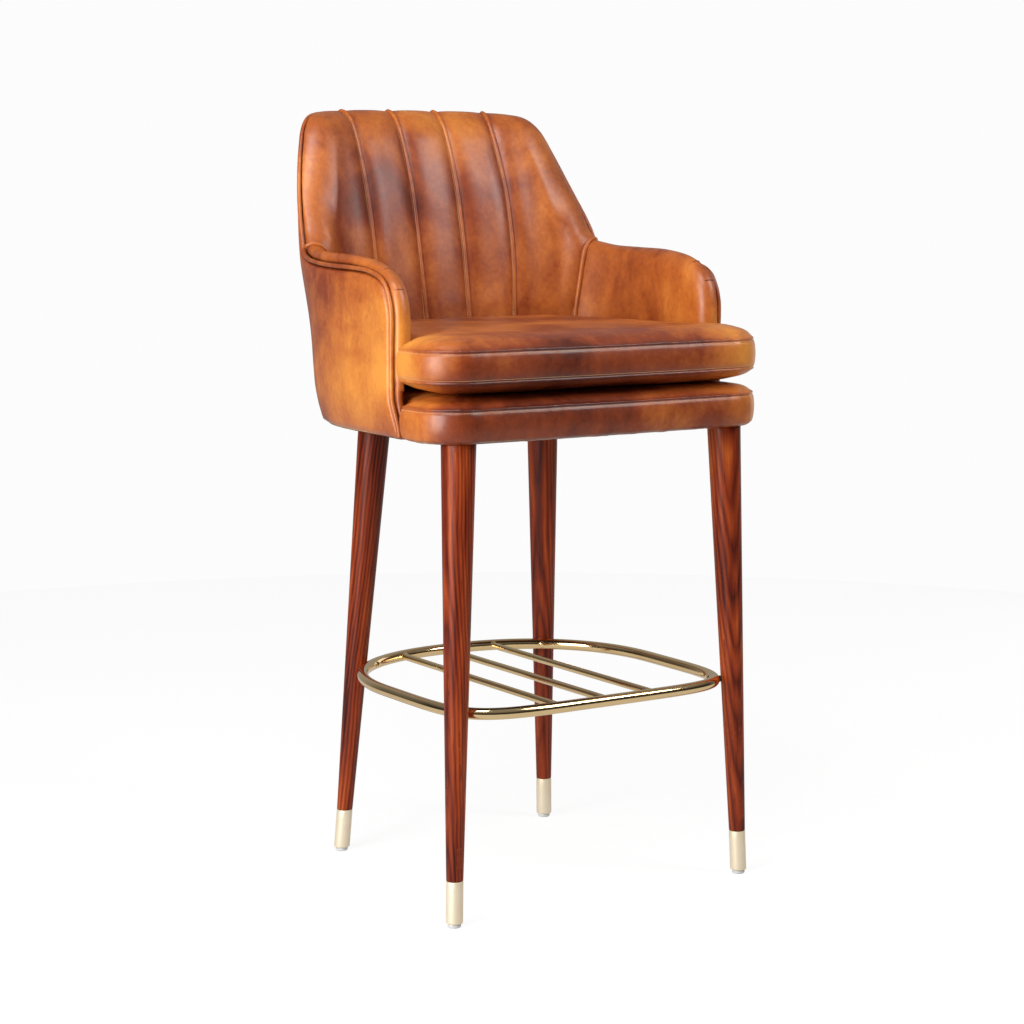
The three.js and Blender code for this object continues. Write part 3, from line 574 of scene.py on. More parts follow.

# Where the leather is coloured brighter (above 0) or darker: place, reach and strength. Partly the
# leather's rubbed colour, partly painted light and shade: lit edges and corners brighter, faces turned
# from the key light darker
CLOUDS = [
    ((0.030, 0.236, 1.050), 0.050, 0.9), ((-0.225, 0.191, 0.990), 0.045, 1.0),
    ((-0.165, 0.206, 0.960), 0.055, -0.6), ((-0.185, 0.181, 0.890), 0.045, -0.7),
    ((-0.080, 0.181, 0.850), 0.050, 0.1), ((-0.090, 0.201, 0.970), 0.055, -0.4),
    ((0.000, 0.191, 0.920), 0.060, -0.5), ((-0.020, 0.221, 1.030), 0.030, -0.4),
    ((-0.030, 0.181, 0.840), 0.050, 0.0), ((0.060, 0.181, 0.840), 0.060, -0.2),
    ((0.150, 0.171, 0.860), 0.050, 0.3), ((0.190, 0.161, 0.900), 0.050, -0.1),
    ((0.130, 0.221, 1.020), 0.060, 0.0), ((-0.110, 0.171, 0.800), 0.050, -0.6),
    ((0.090, 0.216, 1.000), 0.025, -0.5), ((0.225, -0.109, 0.800), 0.045, 0.6),
    ((0.225, -0.009, 0.850), 0.060, -0.5), ((0.220, 0.051, 0.810), 0.040, 0.2),
    ((-0.268, -0.079, 0.780), 0.060, 0.7), ((-0.268, -0.009, 0.700), 0.050, 0.6),
    ((-0.268, 0.051, 0.820), 0.050, -0.3), ((-0.268, 0.091, 0.760), 0.050, 0.3),
    ((-0.250, -0.149, 0.740), 0.060, 0.3), ((-0.268, -0.179, 0.735), 0.040, 0.9),
    ((-0.215, -0.259, 0.740), 0.040, -0.6), ((-0.120, -0.269, 0.735), 0.060, -0.5),
    ((0.020, -0.269, 0.735), 0.080, -0.7), ((0.120, -0.269, 0.735), 0.050, -0.2),
    ((0.235, -0.244, 0.735), 0.045, 1.0), ((-0.230, -0.209, 0.770), 0.050, 0.5),
    ((-0.050, -0.239, 0.780), 0.050, 0.3), ((0.000, -0.089, 0.780), 0.120, -0.1),
    ((-0.265, -0.209, 0.670), 0.050, 0.2), ((-0.180, -0.264, 0.665), 0.050, -0.4),
    ((-0.090, -0.269, 0.665), 0.060, -0.2), ((0.010, -0.269, 0.670), 0.050, -0.6),
    ((0.080, -0.269, 0.660), 0.040, 0.6), ((0.160, -0.269, 0.660), 0.050, -0.3),
    ((0.260, -0.229, 0.670), 0.050, 0.7), ((-0.220, -0.189, 0.695), 0.050, 0.3),
    ((-0.245, -0.144, 0.845), 0.030, -0.9), ((-0.245, -0.149, 0.780), 0.025, 0.2),
]


def tone_at(points):
    """Sum of the clouds' strengths at points."""
    points = np.asarray(points, float).reshape(-1, 3)
    tone = np.zeros(len(points))
    for place, reach, strength in CLOUDS:
        away = np.sum((points - np.array(place)) ** 2, axis=1)
        tone += strength * np.exp(-away / (2 * reach * reach))
    return tone


# ------------------------------------------------------------------ leather sheets of the shell


def fan(line, out, ends, straight, rows, seam=None, seam_side=None, reach=0.035):
    """Columns that leave a free edge square to it, by the straight distances, and then bend down
    to their ends. Beside a seam they turn to run along it. Returns columns by rows of
    [distance round the shell, height]."""
    count = len(line)
    first = line[:, None] - out[:, None] * np.array(straight)[None, :, None]
    p0 = first[:, -1]
    span = np.linalg.norm(ends - p0, axis=1)[:, None]
    p1 = p0 - out * np.minimum(reach, 0.42 * span)
    p2 = ends + np.array([0, 1.0]) * np.minimum(0.08, 0.42 * span)
    t = np.linspace(0, 1, rows + 1)[1:][None, :, None]
    rest = ((1 - t) ** 3 * p0[:, None] + 3 * (1 - t) ** 2 * t * p1[:, None]
            + 3 * (1 - t) * t ** 2 * p2[:, None] + t ** 3 * ends[:, None])
    grid = np.concatenate([first, rest], axis=1)
    if seam is not None:
        share = np.linalg.norm(grid - grid[:, :1], axis=2)
        share = share / share[:, -1:]
        along = np.stack([np.stack([np.interp(row, np.linspace(0, 1, len(seam)), seam[:, k])
                                    for k in (0, 1)], -1) for row in share])
        along -= along[:, :1]
        drop = grid[:, -1:, 1] - grid[:, :1, 1]
        along[..., 1] *= drop / along[:, -1:, 1]
        move = along - (grid - grid[:, :1])
        weight = seam_side(np.linspace(0, 1, count))[:, None, None]
        grid = grid + move * weight
    return grid


def pad_mesh(grid, inner, outer):
    """A closed pad from one grid and the depths of its two faces."""
    front = sheet_points(grid, inner)
    behind = sheet_points(grid, outer)
    columns, rows = grid.shape[:2]
    vertices = np.concatenate([front.reshape(-1, 3), behind.reshape(-1, 3)])
    far = columns * rows
    faces = grid_faces(columns, rows) + [f[::-1] for f in grid_faces(columns, rows, far)]
    border = border_of(columns, rows)
    for a, b in zip(border, border[1:] + border[:1]):
        faces.append((a, b, far + b, far + a))
    return vertices, faces


def rounded(x, power=2.3):
    """0 at a free edge, rising like a quarter round to 1."""
    inside = np.clip(1 - np.asarray(x, float), 0, 1)
    return (1 - inside ** power) ** (1 / power)


def fold(s):
    """Distance round the shell from the nearer of its two fronts."""
    return np.where(s > FULL_ROUND / 2, FULL_ROUND - s, s)


def lining_depth(s, z):
    """Depth of the lining's inner face along its seams."""
    bearing = bearing_of(s)
    folded = np.where(bearing > 90, 180 - bearing, bearing)
    share = np.clip((z - 0.780) / (1.060 - 0.780), -0.3, 1)
    back = mix(*BACK_DEPTH, share)
    return mix(ARM_DEPTH, back, smooth(folded, 30, 55))


def mirror_grid(grid):
    mirrored = grid.copy()
    mirrored[..., 0] = FULL_ROUND - mirrored[..., 0]
    return mirrored[::-1]


ROLL = 0.017                    # how far the lining's roll reaches in from its free edge
STRAIGHT = [ROLL * (1 - math.cos(math.pi / 2 * i / 11)) for i in range(12)]
FRAME_DEPTH = 0.0176            # depth of the frame's inner face, which the lining lies on
arm_seam_line = spline(on_shell(ARM_SEAM))[::-1]
seam_distances = [float(distance_of(b)) for b in SEAM_BEARINGS]
seam_distances += [FULL_ROUND - s for s in seam_distances[::-1]]


def arm_seam_at(z):
    """Distance round the shell of the right arm's seam at a height."""
    return np.interp(z, arm_seam_line[::-1, 1], arm_seam_line[::-1, 0])


def puff_between(near, width):
    """How full a channel is at a distance from its nearest seam."""
    inside = np.clip(1 - near / width, 0, 1)
    return (1 - inside ** 2.4) ** 0.62


# Depth of a crest, and how far its inner and its outer curve reach from it
ARM_CREST = (0.0165, 0.024, 0.0105)
BACK_CREST = (0.0082, 0.046, 0.0050)


def pad_depths(grid, face, wing=0.0):
    """Inner and outer depths of a pad: it curves to a crest at its free edge, and lies on the
    frame further in. wing goes from 0, the arm's crest, to 1, the crest of the back."""
    steps = np.linalg.norm(np.diff(grid, axis=1), axis=2)
    away = np.concatenate([np.zeros((len(grid), 1)), np.cumsum(steps, axis=1)], axis=1)
    wing = np.broadcast_to(wing, (len(grid),))[:, None]
    crest, reach_in, reach_out = (mix(a, b, wing) for a, b in zip(ARM_CREST, BACK_CREST))
    inner = crest + (face - crest) * rounded(away / reach_in, 2.15)
    outer = crest - (crest - LINING_OUTER) * rounded(away / reach_out)
    outer = outer + (FRAME_DEPTH - LINING_OUTER) * smooth(away, 0.011, 0.017)
    return inner, np.minimum(outer, inner)


def ripple(points, scale, seed):
    """Smooth noise in -1 to 1 at points, the same on each run."""
    flat = np.asarray(points, float).reshape(-1, 3) * scale + seed
    values = np.array([noise.noise(Vector(p)) for p in flat])
    return values.reshape(np.asarray(points).shape[:-1])


# Crown of the back: the cover's edge moved out, a little further in the middle of a channel
def back_crown(start, end, count):
    """The back lining's free edge between two places round the shell's edge line."""
    line, _ = offset(edge_line, BACK_CROWN)
    keep = (np.arange(len(line)) >= start) & (np.arange(len(line)) <= end)
    return resample(line[keep], count)


TOP_EDGE_Z = 1.05               # the edge line is the back's top edge above this


def edge_index(s):
    """Index in the edge line of the top edge's point at a distance round the shell."""
    candidates = np.where(edge_line[:, 1] > TOP_EDGE_Z)[0]
    return candidates[np.argmin(np.abs(edge_line[candidates, 0] - s))]


PANEL_ROWS = 60


def seam_near(s, z):
    """Distance to the nearest seam of the back for a point of the right half."""
    near = np.full(np.shape(s), 1.0)
    for seam in seam_distances:
        near = np.minimum(near, np.abs(s - seam))
    return np.minimum(near, np.abs(s - arm_seam_at(np.minimum(z, ARM_SEAM_TOP))) * 0.97
                      + np.maximum(z - ARM_SEAM_TOP, 0))


FULLNESS = 0.012                # extra padding in the corners of the back, at half height


def fullness(s, z):
    """Extra depth of the back's padding, most beside the outer seams."""
    aside = np.abs(bearing_of(s) - 90)
    level = np.sin(np.pi * np.clip((np.asarray(z) - 0.765) / (1.045 - 0.765), 0, 1)) ** 1.1
    round_corner = mix(0.35, 1.0, smooth(aside, 4, 26)) * (1 - smooth(aside, 24, 62))
    return FULLNESS * level * round_corner


def back_face(s, z):
    """Depth of the back's inner face, channels included."""
    folded = fold(s)
    puff = CHANNEL_PUFF * puff_between(seam_near(folded, z), 0.034)
    puff = puff * mix(0.75, 1.0, smooth(z, 0.770, 0.800))
    return lining_depth(folded, z) - 0.0032 + puff + fullness(folded, z)


SEAM_DIP = 0.002                # the crest lies this much lower at a seam
CHANNEL_CROWN = 0.0035          # and this much higher in the middle of a channel
CORNER_Z = 0.897                # height on the wing where the outer channel's round crown starts


def inner_channel(low, high):
    """Grid of a channel between two seams of the back, at distances low and high."""
    shares = (1 - np.cos(np.pi * np.linspace(0, 1, 40))) / 2
    s = mix(low, high, shares)
    edge = edge_line[edge_index(low):edge_index(high) + 1]
    near = np.minimum(s - low, high - s)
    crown = (np.interp(s, edge[:, 0], edge[:, 1]) + BACK_CROWN - SEAM_DIP
             + CHANNEL_CROWN * puff_between(near, (high - low) / 2))
    out = np.tile([0.0, 1.0], (len(s), 1))
    return fan(np.stack([s, crown], -1), out, level(s, LINING_BOTTOM), STRAIGHT, PANEL_ROWS)


def outer_channel():
    """Grid of the right outer channel: its free edge goes from the arm's seam up the wing, round
    the wing's corner and along the top to the outer seam."""
    corner_start = np.argmin(np.abs(edge_line[:len(half_edge), 1] - CORNER_Z))
    crown = back_crown(corner_start, edge_index(seam_distances[0]), 130)
    start = on_shell([ARM_SEAM[-1]])[0]
    crown[-1, 0] = seam_distances[0]
    crown[:, 1] -= SEAM_DIP * np.exp(-(seam_distances[0] - crown[:, 0]) / 0.012)
    line = spline(np.concatenate([[start], crown[3::4], crown[-1:]]), 0.0008)
    line = resample(line, 130)
    _, out = offset(line, 0.0)
    out[-12:] = mix(out[-12:], np.array([0.0, 1.0]), np.linspace(0, 1, 12)[:, None])
    out[:10] = mix(np.array([-0.8, 0.6]), out[:10], np.linspace(0, 1, 10)[:, None])
    bottom = on_shell([ARM_SEAM[0]])[0, 0]
    ends = level(np.linspace(bottom, seam_distances[0], len(line)), LINING_BOTTOM)
    return fan(line, unit(out), ends, STRAIGHT, PANEL_ROWS, arm_seam_line,
               lambda t: 1 - smooth(t, 0.0, 0.45), reach=0.05)


def build_channels():
    """The five upholstered channels of the back."""
    names = ("right_inner", "middle", "left_inner")
    grids = {name: inner_channel(low, high)
             for name, low, high in zip(names, seam_distances, seam_distances[1:])}
    grids["right_outer"] = outer_channel()
    grids["left_outer"] = mirror_grid(grids["right_outer"])
    for name, grid in grids.items():
        face = back_face(grid[..., 0], grid[..., 1])
        face = face + 0.0007 * ripple(sheet_points(grid, 0.03), 18, 3.1)
        wing = smooth(np.linspace(0, 1, len(grid)), 0.02, 0.32) if "outer" in name else 1.0
        if name == "left_outer":
            wing = wing[::-1]
        inner_depth, outer_depth = pad_depths(grid, face, wing)
        vertices, faces = pad_mesh(grid, inner_depth, outer_depth)
        near = seam_near(fold(grid[..., 0]), grid[..., 1])
        # darker beside the seams: wear, and painted shade in the seams' furrows
        wear_and_shade = np.exp(-near / 0.006) * 0.8
        piece = leather_piece(f"leather_channel_{name}", vertices, faces, "root",
                              f"back_channel_{name}", wear_and_shade=np.tile(wear_and_shade.ravel(), 2))


ARM_ROWS = 40


def arm_grid():
    """Grid of the right arm's lining, from its crown down to the seat base."""
    line = spline(on_shell(ARM_CROWN), 0.0006)
    line = resample(line, 210)
    _, out = offset(line, 0.0)
    first = float(line[0, 0]) + ROLL
    last = float(arm_seam_line[-1, 0])
    ends = level(np.linspace(first, last, len(line)), LINING_BOTTOM)
    line[-1] = arm_seam_line[0]
    return fan(line, out, ends, STRAIGHT, ARM_ROWS, arm_seam_line,
               lambda t: smooth(t, 0.72, 1.0), reach=0.05)


DARTS = [(0.862, 2), (0.836, 1)]     # height on the arm's front corner, and length in rows


def arm_face(s, z):
    """Depth of the arm lining's inner face, slightly full between its edges."""
    near = np.abs(s - arm_seam_at(np.minimum(z, ARM_SEAM_TOP)))
    foot = 0.014 * (1 - smooth(z, 0.714, 0.736))
    return lining_depth(s, z) - 0.0015 + 0.003 * puff_between(near, 0.03) - foot


def build_darts(name, inner, outer, grid, flip):
    """Two short sewn tucks that take in the lining where it turns the arm's front corner."""
    parts = []
    columns = range(len(grid))
    for height, length in DARTS:
        front = [i for i in columns if (i > len(grid) // 2) == flip]
        column = min(front, key=lambda i: abs(grid[i, 0, 1] - height))
        path = np.concatenate([outer[column, 4:0:-1], inner[column, :length + 4]])
        beside = np.concatenate([outer[column + 1, 4:0:-1], inner[column + 1, :length + 4]])
        side = beside - path
        tangent = np.gradient(path, axis=0)
        up = unit(np.cross(side, tangent))
        away = path - path.mean(axis=0) + np.array([0, -0.01, 0.01])
        up *= np.sign(np.sum(up * away, axis=1).sum())
        taper = np.sin(np.linspace(0.35, math.pi - 0.05, len(path)))
        parts.append(sweep(path - up * 0.0001, 0.0009 * taper + 0.0002, 10))
    vertices, faces = join(parts)
    # the darts are darkened: painted shade in their creases
    make(f"leather_darts_{name}", vertices, faces, "root", slot="piping", material=PIPING,
         fields={"tone": np.full(len(vertices), -0.2), "wear_and_shade": np.full(len(vertices), 0.5)})


def build_arms():
    """The two arm linings, with their darts."""
    right = arm_grid()
    for name, grid, flip in (("right", right, False), ("left", mirror_grid(right), True)):
        folded = FULL_ROUND - grid[..., 0] if flip else grid[..., 0]
        face = arm_face(folded, grid[..., 1])
        face = face + 0.0006 * ripple(sheet_points(grid, 0.03), 20, 7.7)
        inner, outer = pad_depths(grid, face)
        vertices, faces = pad_mesh(grid, inner, outer)
        build_darts(name, sheet_points(grid, inner), sheet_points(grid, outer), grid, flip)
        near = np.abs(folded - arm_seam_at(np.minimum(grid[..., 1], ARM_SEAM_TOP)))
        # darker beside the arm seam, wear and painted shade in its furrow, and much darker at the
        # lining's foot, painted shade where it meets the seat
        wear_and_shade = np.exp(-near / 0.006) * 0.8 + 1.3 * (1 - smooth(grid[..., 1], 0.712, 0.730))
        piece = leather_piece(f"leather_arm_{name}", vertices, faces, "root", f"arm_pad_{name}",
                              wear_and_shade=np.tile(wear_and_shade.ravel(), 2))


COVER_ROLL = 0.0055
COVER_STRAIGHT = [COVER_ROLL * (1 - math.cos(math.pi / 2 * i / 6)) for i in range(7)]
COVER_STRAIGHT += [0.008, 0.012, 0.018]
COVER_ROWS = 44
TUCK_DEPTHS = np.array([0.0085, 0.011, 0.015, 0.020, 0.026])


def build_cover():
    """The outer leather: one sheet round the shell, rolled in at its edges and tucked under."""
    half = resample(half_edge, 230)
    _, out = offset(half, 0.0)
    straight = COVER_STRAIGHT[-1]
    ends = level(np.linspace(straight, FULL_ROUND / 2, len(half)), BOTTOM_Z)
    right = fan(half, out, ends, COVER_STRAIGHT, COVER_ROWS, reach=0.05)
    left = mirror_grid(right)
    grid = np.concatenate([right, left[1:]])
    away = np.array(COVER_STRAIGHT + [1.0] * COVER_ROWS)[None, :]
    depth = COVER_ROLL * (1 - np.sqrt(1 - np.clip(1 - away / COVER_ROLL, 0, 1) ** 2))
    depth = np.broadcast_to(depth, grid.shape[:2]).copy()
    inside = np.clip(np.minimum(grid[..., 0], FULL_ROUND - grid[..., 0]), 0, None)
    rows_away = np.broadcast_to(np.array(COVER_STRAIGHT + [0.03] * COVER_ROWS)[None, :], grid.shape[:2])
    swell = 1 - np.exp(-np.minimum(rows_away, inside + 0.002) / 0.009)
    foot = smooth(grid[..., 1], BOTTOM_Z, BOTTOM_Z + 0.03)
    points = sheet_points(grid, 0.0)
    depth -= 0.0022 * swell * foot
    depth -= 0.0011 * ripple(points, 13, 1.7) * foot * swell
    under = np.clip(1 - (grid[..., 1] - BOTTOM_Z) / 0.009, 0, 1)
    depth += 0.009 * (1 - np.sqrt(1 - under ** 2 * 0.999))
    vertices = sheet_points(grid, depth)
    # darker towards the bottom and at the rolled edge by the welt: wear, and painted shade in the roll
    wear_and_shade = np.exp(-(grid[..., 1] - BOTTOM_Z) / 0.02) * 0.35
    wear_and_shade = np.maximum(wear_and_shade, np.exp(-rows_away / 0.004) * 0.3)
    parts = [(vertices, grid_faces(*grid.shape[:2]))]
    # The tuck under the shell, pleated a little
    s = np.linspace(0.004, FULL_ROUND - 0.004, 420)
    tuck = shell_point(s[:, None], np.full((len(s), len(TUCK_DEPTHS)), BOTTOM_Z),
                       TUCK_DEPTHS[None, :])
    pleat = np.array([noise.noise(Vector((v * 90, 3.3, 0.5))) for v in s])
    tuck[..., 2] += pleat[:, None] * 0.0016 * smooth(TUCK_DEPTHS, 0.008, 0.016)[None, :]
    tuck[..., 2] -= 0.0006
    parts.append((tuck, grid_faces(*tuck.shape[:2])))
    vertices, faces = join(parts)
    # the tuck under the shell is painted dark with shade
    wear_and_shade = np.concatenate([wear_and_shade.ravel(), np.full(tuck[..., 0].size, 0.8)])
    leather_piece("leather_outer_cover", vertices, faces, "root", "shell_outer_cover",
                  wear_and_shade=wear_and_shade)


build_channels()
build_arms()
build_cover()


# ------------------------------------------------------------------ welt and pipings

CREST_OVER = 0.0065             # how far over the crest a piping goes before it meets the welt


def seam_path(line, out, wing, face_of, reach, aside=0.0, proud=0.0):
    """A path up a seam of the lining and over its crest. line runs from the free edge down, out
    points across the free edge, aside is a move along the shell and proud one off the leather."""
    steps = reach_along(line)
    crest, reach_in, reach_out = (mix(a, b, wing) for a, b in zip(ARM_CREST, BACK_CREST))
    keep = steps > 0
    s, z, away = line[keep, 0], line[keep, 1], steps[keep]
    inner = crest + (face_of(s, z) - crest) * rounded(away / reach_in, 2.15)
    points = shell_point(s + aside, z, inner)
    turns = np.linspace(0, math.pi / 2, 9)[1:]
    over_away = reach * (1 - np.cos(turns))
    over = line[0] - np.outer(over_away, out)
    over_depth = crest - (crest - LINING_OUTER) * rounded(over_away / reach_out)
    top = shell_point(np.array([line[0, 0] + aside]), np.array([line[0, 1]]), crest)
    beyond = shell_point(over[:, 0] + aside, over[:, 1], over_depth)
    path = np.concatenate([points[::-1], top, beyond])
    right, inward, up = across_at(path)
    lift = unit(np.cross(unit(np.gradient(path, axis=0)), right))
    lift *= np.sign(np.sum(lift * (inward + 0.6 * up), axis=1))[:, None]
    lift[-len(beyond) - 3:] = lift_over(path, len(beyond) + 3)
    return path + lift * proud, lift


def across_at(path):
    """Directions round the shell, towards the axis and up, at points."""
    middle = np.array([0.0, 0.02, 0.0])
    inward = middle - path
    inward[:, 2] = 0
    inward = unit(inward)
    up = np.zeros_like(path)
    up[:, 2] = 1
    return np.cross(up, inward), inward, up


def lift_over(path, count):
    """The last count lifts of a path over the crest: they point up and then outwards."""
    _, inward, up = across_at(path[-count:])
    tangent = unit(np.gradient(path, axis=0)[-count:])
    wanted = up + np.linspace(0.6, -0.8, count)[:, None] * inward
    return unit(wanted - tangent * np.sum(wanted * tangent, axis=1)[:, None])


def spaced(path, step):
    return resample(path, max(8, int(reach_along(path)[-1] / step)))


def crest_at(s):
    """Height of the back's crest at a distance round the shell."""
    near = edge_line[edge_index(s) - 40:edge_index(s) + 40]
    return float(np.interp(s, near[:, 0], near[:, 1])) + BACK_CROWN - SEAM_DIP


def build_piping(name, node, line, out, wing, face_of, thread_side):
    """A piping up a seam, and the row of thread on one side of it."""
    path, lift = seam_path(line, out, wing, face_of, CREST_OVER, proud=PIPING_RADIUS * 0.35)
    both = spaced(np.concatenate([path, lift], axis=1), 0.0022)
    path = both[:, :3]
    wobble = np.array([noise.noise(Vector(p * 160)) for p in path])
    vertices, faces = sweep(path, PIPING_RADIUS * (1 + 0.05 * wobble), 14)
    wear_and_shade = 0.15 + 0.25 * np.abs(np.sin(np.arange(len(vertices)) * 0.37))
    make(f"leather_piping_{name}", vertices, faces, "root", node, slot="piping",
         material=PIPING, fields={"tone": tone_at(vertices) * 0.7 + 0.25,
                                  "wear_and_shade": wear_and_shade * 0.4})
    aside = 0.0052 * thread_side
    path, lift = seam_path(line, out, wing, thread_face, 0.002, aside=aside, proud=0.0003)
    keep = path[:, 2] > (0.770 if "arm" not in name else 0.765)
    v, f = stitches(path[keep], lift[keep], pitch=0.0034, length=0.0025, radius=0.00060)
    make(f"thread_{name}", v, f, "root", slot="piping", material=THREAD)


def flat_back_face(s, z):
    """Depth of the back's face in a seam's furrow, with its shallow flanks."""
    folded = fold(s)
    return lining_depth(folded, z) - 0.0032 + fullness(folded, z) + 0.0010


def thread_face(s, z):
    return flat_back_face(s, z) + CHANNEL_PUFF * 0.36


def build_trim():
    """The six pipings, and the welt along the cover's edge."""
    names = ["outer_right", "inner_right", "inner_left", "outer_left"]
    for name, s in zip(names, seam_distances):
        line = np.column_stack([np.full(160, s), np.linspace(crest_at(s), LINING_BOTTOM, 160)])
        build_piping(name, f"back_piping_{name}", line, np.array([0.0, 1.0]), 1.0,
                     flat_back_face, 1)
    mirrored = arm_seam_line * [-1, 1] + [FULL_ROUND, 0]
    for name, line, turn in (("right", arm_seam_line, -1), ("left", mirrored, 1)):
        fine = resample(line, 130)
        build_piping(f"arm_{name}", f"arm_piping_{name}", fine,
                     np.array([0.8 * turn, 0.6]), 0.0, flat_back_face, -turn)
    line, _ = offset(edge_line, 0.0047)
    keep = (line[:, 1] > 0.76) | (np.abs(line[:, 0] - FULL_ROUND / 2) < FULL_ROUND / 2 - 0.03)
    over = spaced(line[keep], 0.003)
    front_s = float(over[0, 0])
    up = np.array([(front_s, z) for z in np.arange(0.6425, float(over[0, 1]) - 0.002, 0.003)])
    down = up[::-1] * [-1, 1] + [FULL_ROUND, 0]
    whole = np.concatenate([up, over, down])
    path = spaced(spline(shell_point(whole[:, 0], whole[:, 1], 0.0026)[::4], 0.001), 0.0026)
    wobble = np.array([noise.noise(Vector(p * 120)) for p in path])
    vertices, faces = sweep(path, WELT_RADIUS * (1 + 0.05 * wobble), 16)
    make("leather_edge_welt", vertices, faces, "root", "edge_welt", slot="piping",
         material=PIPING, fields={"tone": tone_at(vertices) * 0.6 + 0.1,
                                  "wear_and_shade": np.full(len(vertices), 0.15)})


def build_front_strips():
    """The lining's leather, pulled down over the frame's front beside the seat base."""
    for name, flip in (("right", False), ("left", True)):
        z = np.linspace(0.6405, LINING_BOTTOM + 0.004, 26)
        turn = np.linspace(0, 2 * math.pi, 33)[:-1]
        front = mix(-0.0085, -0.0118, smooth(z, 0.645, 0.703))
        wide = (0.0030 - front) / 2
        c = np.cos(turn)
        t = np.sin(turn)
        bow = np.sign(c) * np.abs(c) ** 0.8
        bulge = np.sign(t) * np.abs(t) ** 0.8
        s = (0.0030 + front)[:, None] / 2 + wide[:, None] * bow[None, :]
        depth = 0.0125 + 0.0053 * bulge[None, :]
        place = shell_point(FULL_ROUND - s if flip else s, z[:, None], depth)
        place = place + 0.0004 * ripple(place, 60, 2.2)[..., None]
        faces = tube_faces(*place.shape[:2]) + end_faces(*place.shape[:2])
        # painted shade: the strips sit dark in the gap beside the seat base
        leather_piece(f"leather_front_strip_{name}", place.reshape(-1, 3), faces, "root",
                      wear_and_shade=1.1)


SKIRT_FOOT = 0.655              # height of the lower edge of the lining's skirt


def build_skirt():
    """Thin leather that goes on down from the lining and hides the frame behind the seat base."""
    s = np.linspace(0.004, FULL_ROUND - 0.004, 241)
    z = np.linspace(SKIRT_FOOT, LINING_BOTTOM + 0.002, 5)
    grid = np.stack(np.meshgrid(s, z[::-1], indexing="ij"), -1)
    flat = np.zeros(grid.shape[:2])
    vertices, faces = pad_mesh(grid, flat + FRAME_DEPTH + 0.0028, flat + FRAME_DEPTH - 0.0002)
    # painted shade: the skirt lies dark behind the seat base
    leather_piece("leather_skirt", vertices, faces, "root", wear_and_shade=1.1)


build_trim()
build_front_strips()
build_skirt()


# ------------------------------------------------------------------ seat base and cushion

SEAT_FRONT = -0.216 + LEG_MIDDLE_Y
SEAT_BOW = 0.004
CORNER_RADIUS = 0.062
SHOULDER_RADIUS = 0.007
SHOULDER_INSET = 0.014
CUSHION = {"half": 0.272, "shoulder": -0.102 + LEG_MIDDLE_Y, "low": 0.7185, "high": 0.7600,
           "bottom": 0.7010, "crown": 0.7775,
           "edge_share": 0.4, "flat_bottom": False}
BASE = {"half": 0.271, "shoulder": -0.108 + LEG_MIDDLE_Y, "low": 0.6443, "high": 0.6848,
        "bottom": 0.6386, "crown": 0.6977,
        "edge_share": 0.6, "flat_bottom": True}
FRONT_STEPS = 43
CORNER_STEPS = 26
SIDE_STEPS = 12
SHOULDER_STEPS = 4
LEDGE_STEPS = 11
NECK_STEPS = 44
BACK_STEPS = FRONT_STEPS + CORNER_STEPS // 2
BACK_CORNER = 55                # bearing of the T's back corner
SEAM_INSET = 0.0032             # how far in from the band's fullest line a seam lies
HEM_WIDTH = 0.0145              # leather that an open body has under its low seam
PANEL_INSET = 0.058             # where a panel's rolled border ends and its flat middle begins


def base_neck(_bearing, _z):
    """Depth in the shell of the seat base's back: close to the frame all round."""
    return 0.0188


def cushion_neck(bearing, z):
    """Depth in the shell of the cushion's back, which follows the lining."""
    return lining_depth(distance_of(bearing), z) + 0.008


def seat_loop(body, inset, z, neck):
    """Outline of the T at an inset and a height, always with the same number of points."""
    x = body["half"] - inset
    front = SEAT_FRONT + inset
    shoulder = body["shoulder"] - min(inset, SHOULDER_INSET)
    corner = CORNER_RADIUS - inset
    flat = x - corner
    bow_end = body["half"] - CORNER_RADIUS
    half = []
    for i in range(FRONT_STEPS):
        at = flat * i / FRONT_STEPS
        half.append((at, front + SEAT_BOW * (at / bow_end) ** 2))
    start = front + SEAT_BOW * (flat / bow_end) ** 2
    for i in range(CORNER_STEPS):
        turn = math.pi / 2 * i / CORNER_STEPS
        half.append((flat + corner * math.sin(turn), start + corner * (1 - math.cos(turn))))
    side_end = shoulder - SHOULDER_RADIUS
    for i in range(SIDE_STEPS):
        half.append((x, mix(start + corner, side_end, i / SIDE_STEPS)))
    for i in range(SHOULDER_STEPS):
        turn = math.pi / 2 * i / SHOULDER_STEPS
        half.append((x - SHOULDER_RADIUS * (1 - math.cos(turn)),
                     side_end + SHOULDER_RADIUS * math.sin(turn)))
    bearings = np.concatenate([
        bearing_of(np.linspace(distance_of(-1.2), distance_of(BACK_CORNER), NECK_STEPS + 1)[:-1]),
        bearing_of(np.linspace(distance_of(BACK_CORNER), distance_of(90), BACK_STEPS + 1))])
    depth = np.array([neck(b, z) for b in bearings]) + inset
    neck_points = shell_point(distance_of(bearings), z, depth)[:, :2]
    neck_start = neck_points[0, 0]
    for i in range(LEDGE_STEPS):
        half.append((mix(x - SHOULDER_RADIUS, neck_start, i / LEDGE_STEPS), shoulder))
    ahead = smooth(neck_points[:, 1], shoulder, shoulder + 0.02)
    neck_points[:, 1] = mix(np.maximum(neck_points[:, 1], shoulder), neck_points[:, 1], ahead)
    half += [tuple(p) for p in neck_points]
    half = np.array(half)
    mirrored = half[1:-1][::-1] * [-1, 1]
    loop = np.concatenate([half, mirrored])
    return np.column_stack([loop, np.full(len(loop), z)])


def round_smooth(loop, times, strength=0.5):
    for _ in range(times):
        loop = mix(loop, (np.roll(loop, 1, 0) + np.roll(loop, -1, 0)) / 2, strength)
    return loop


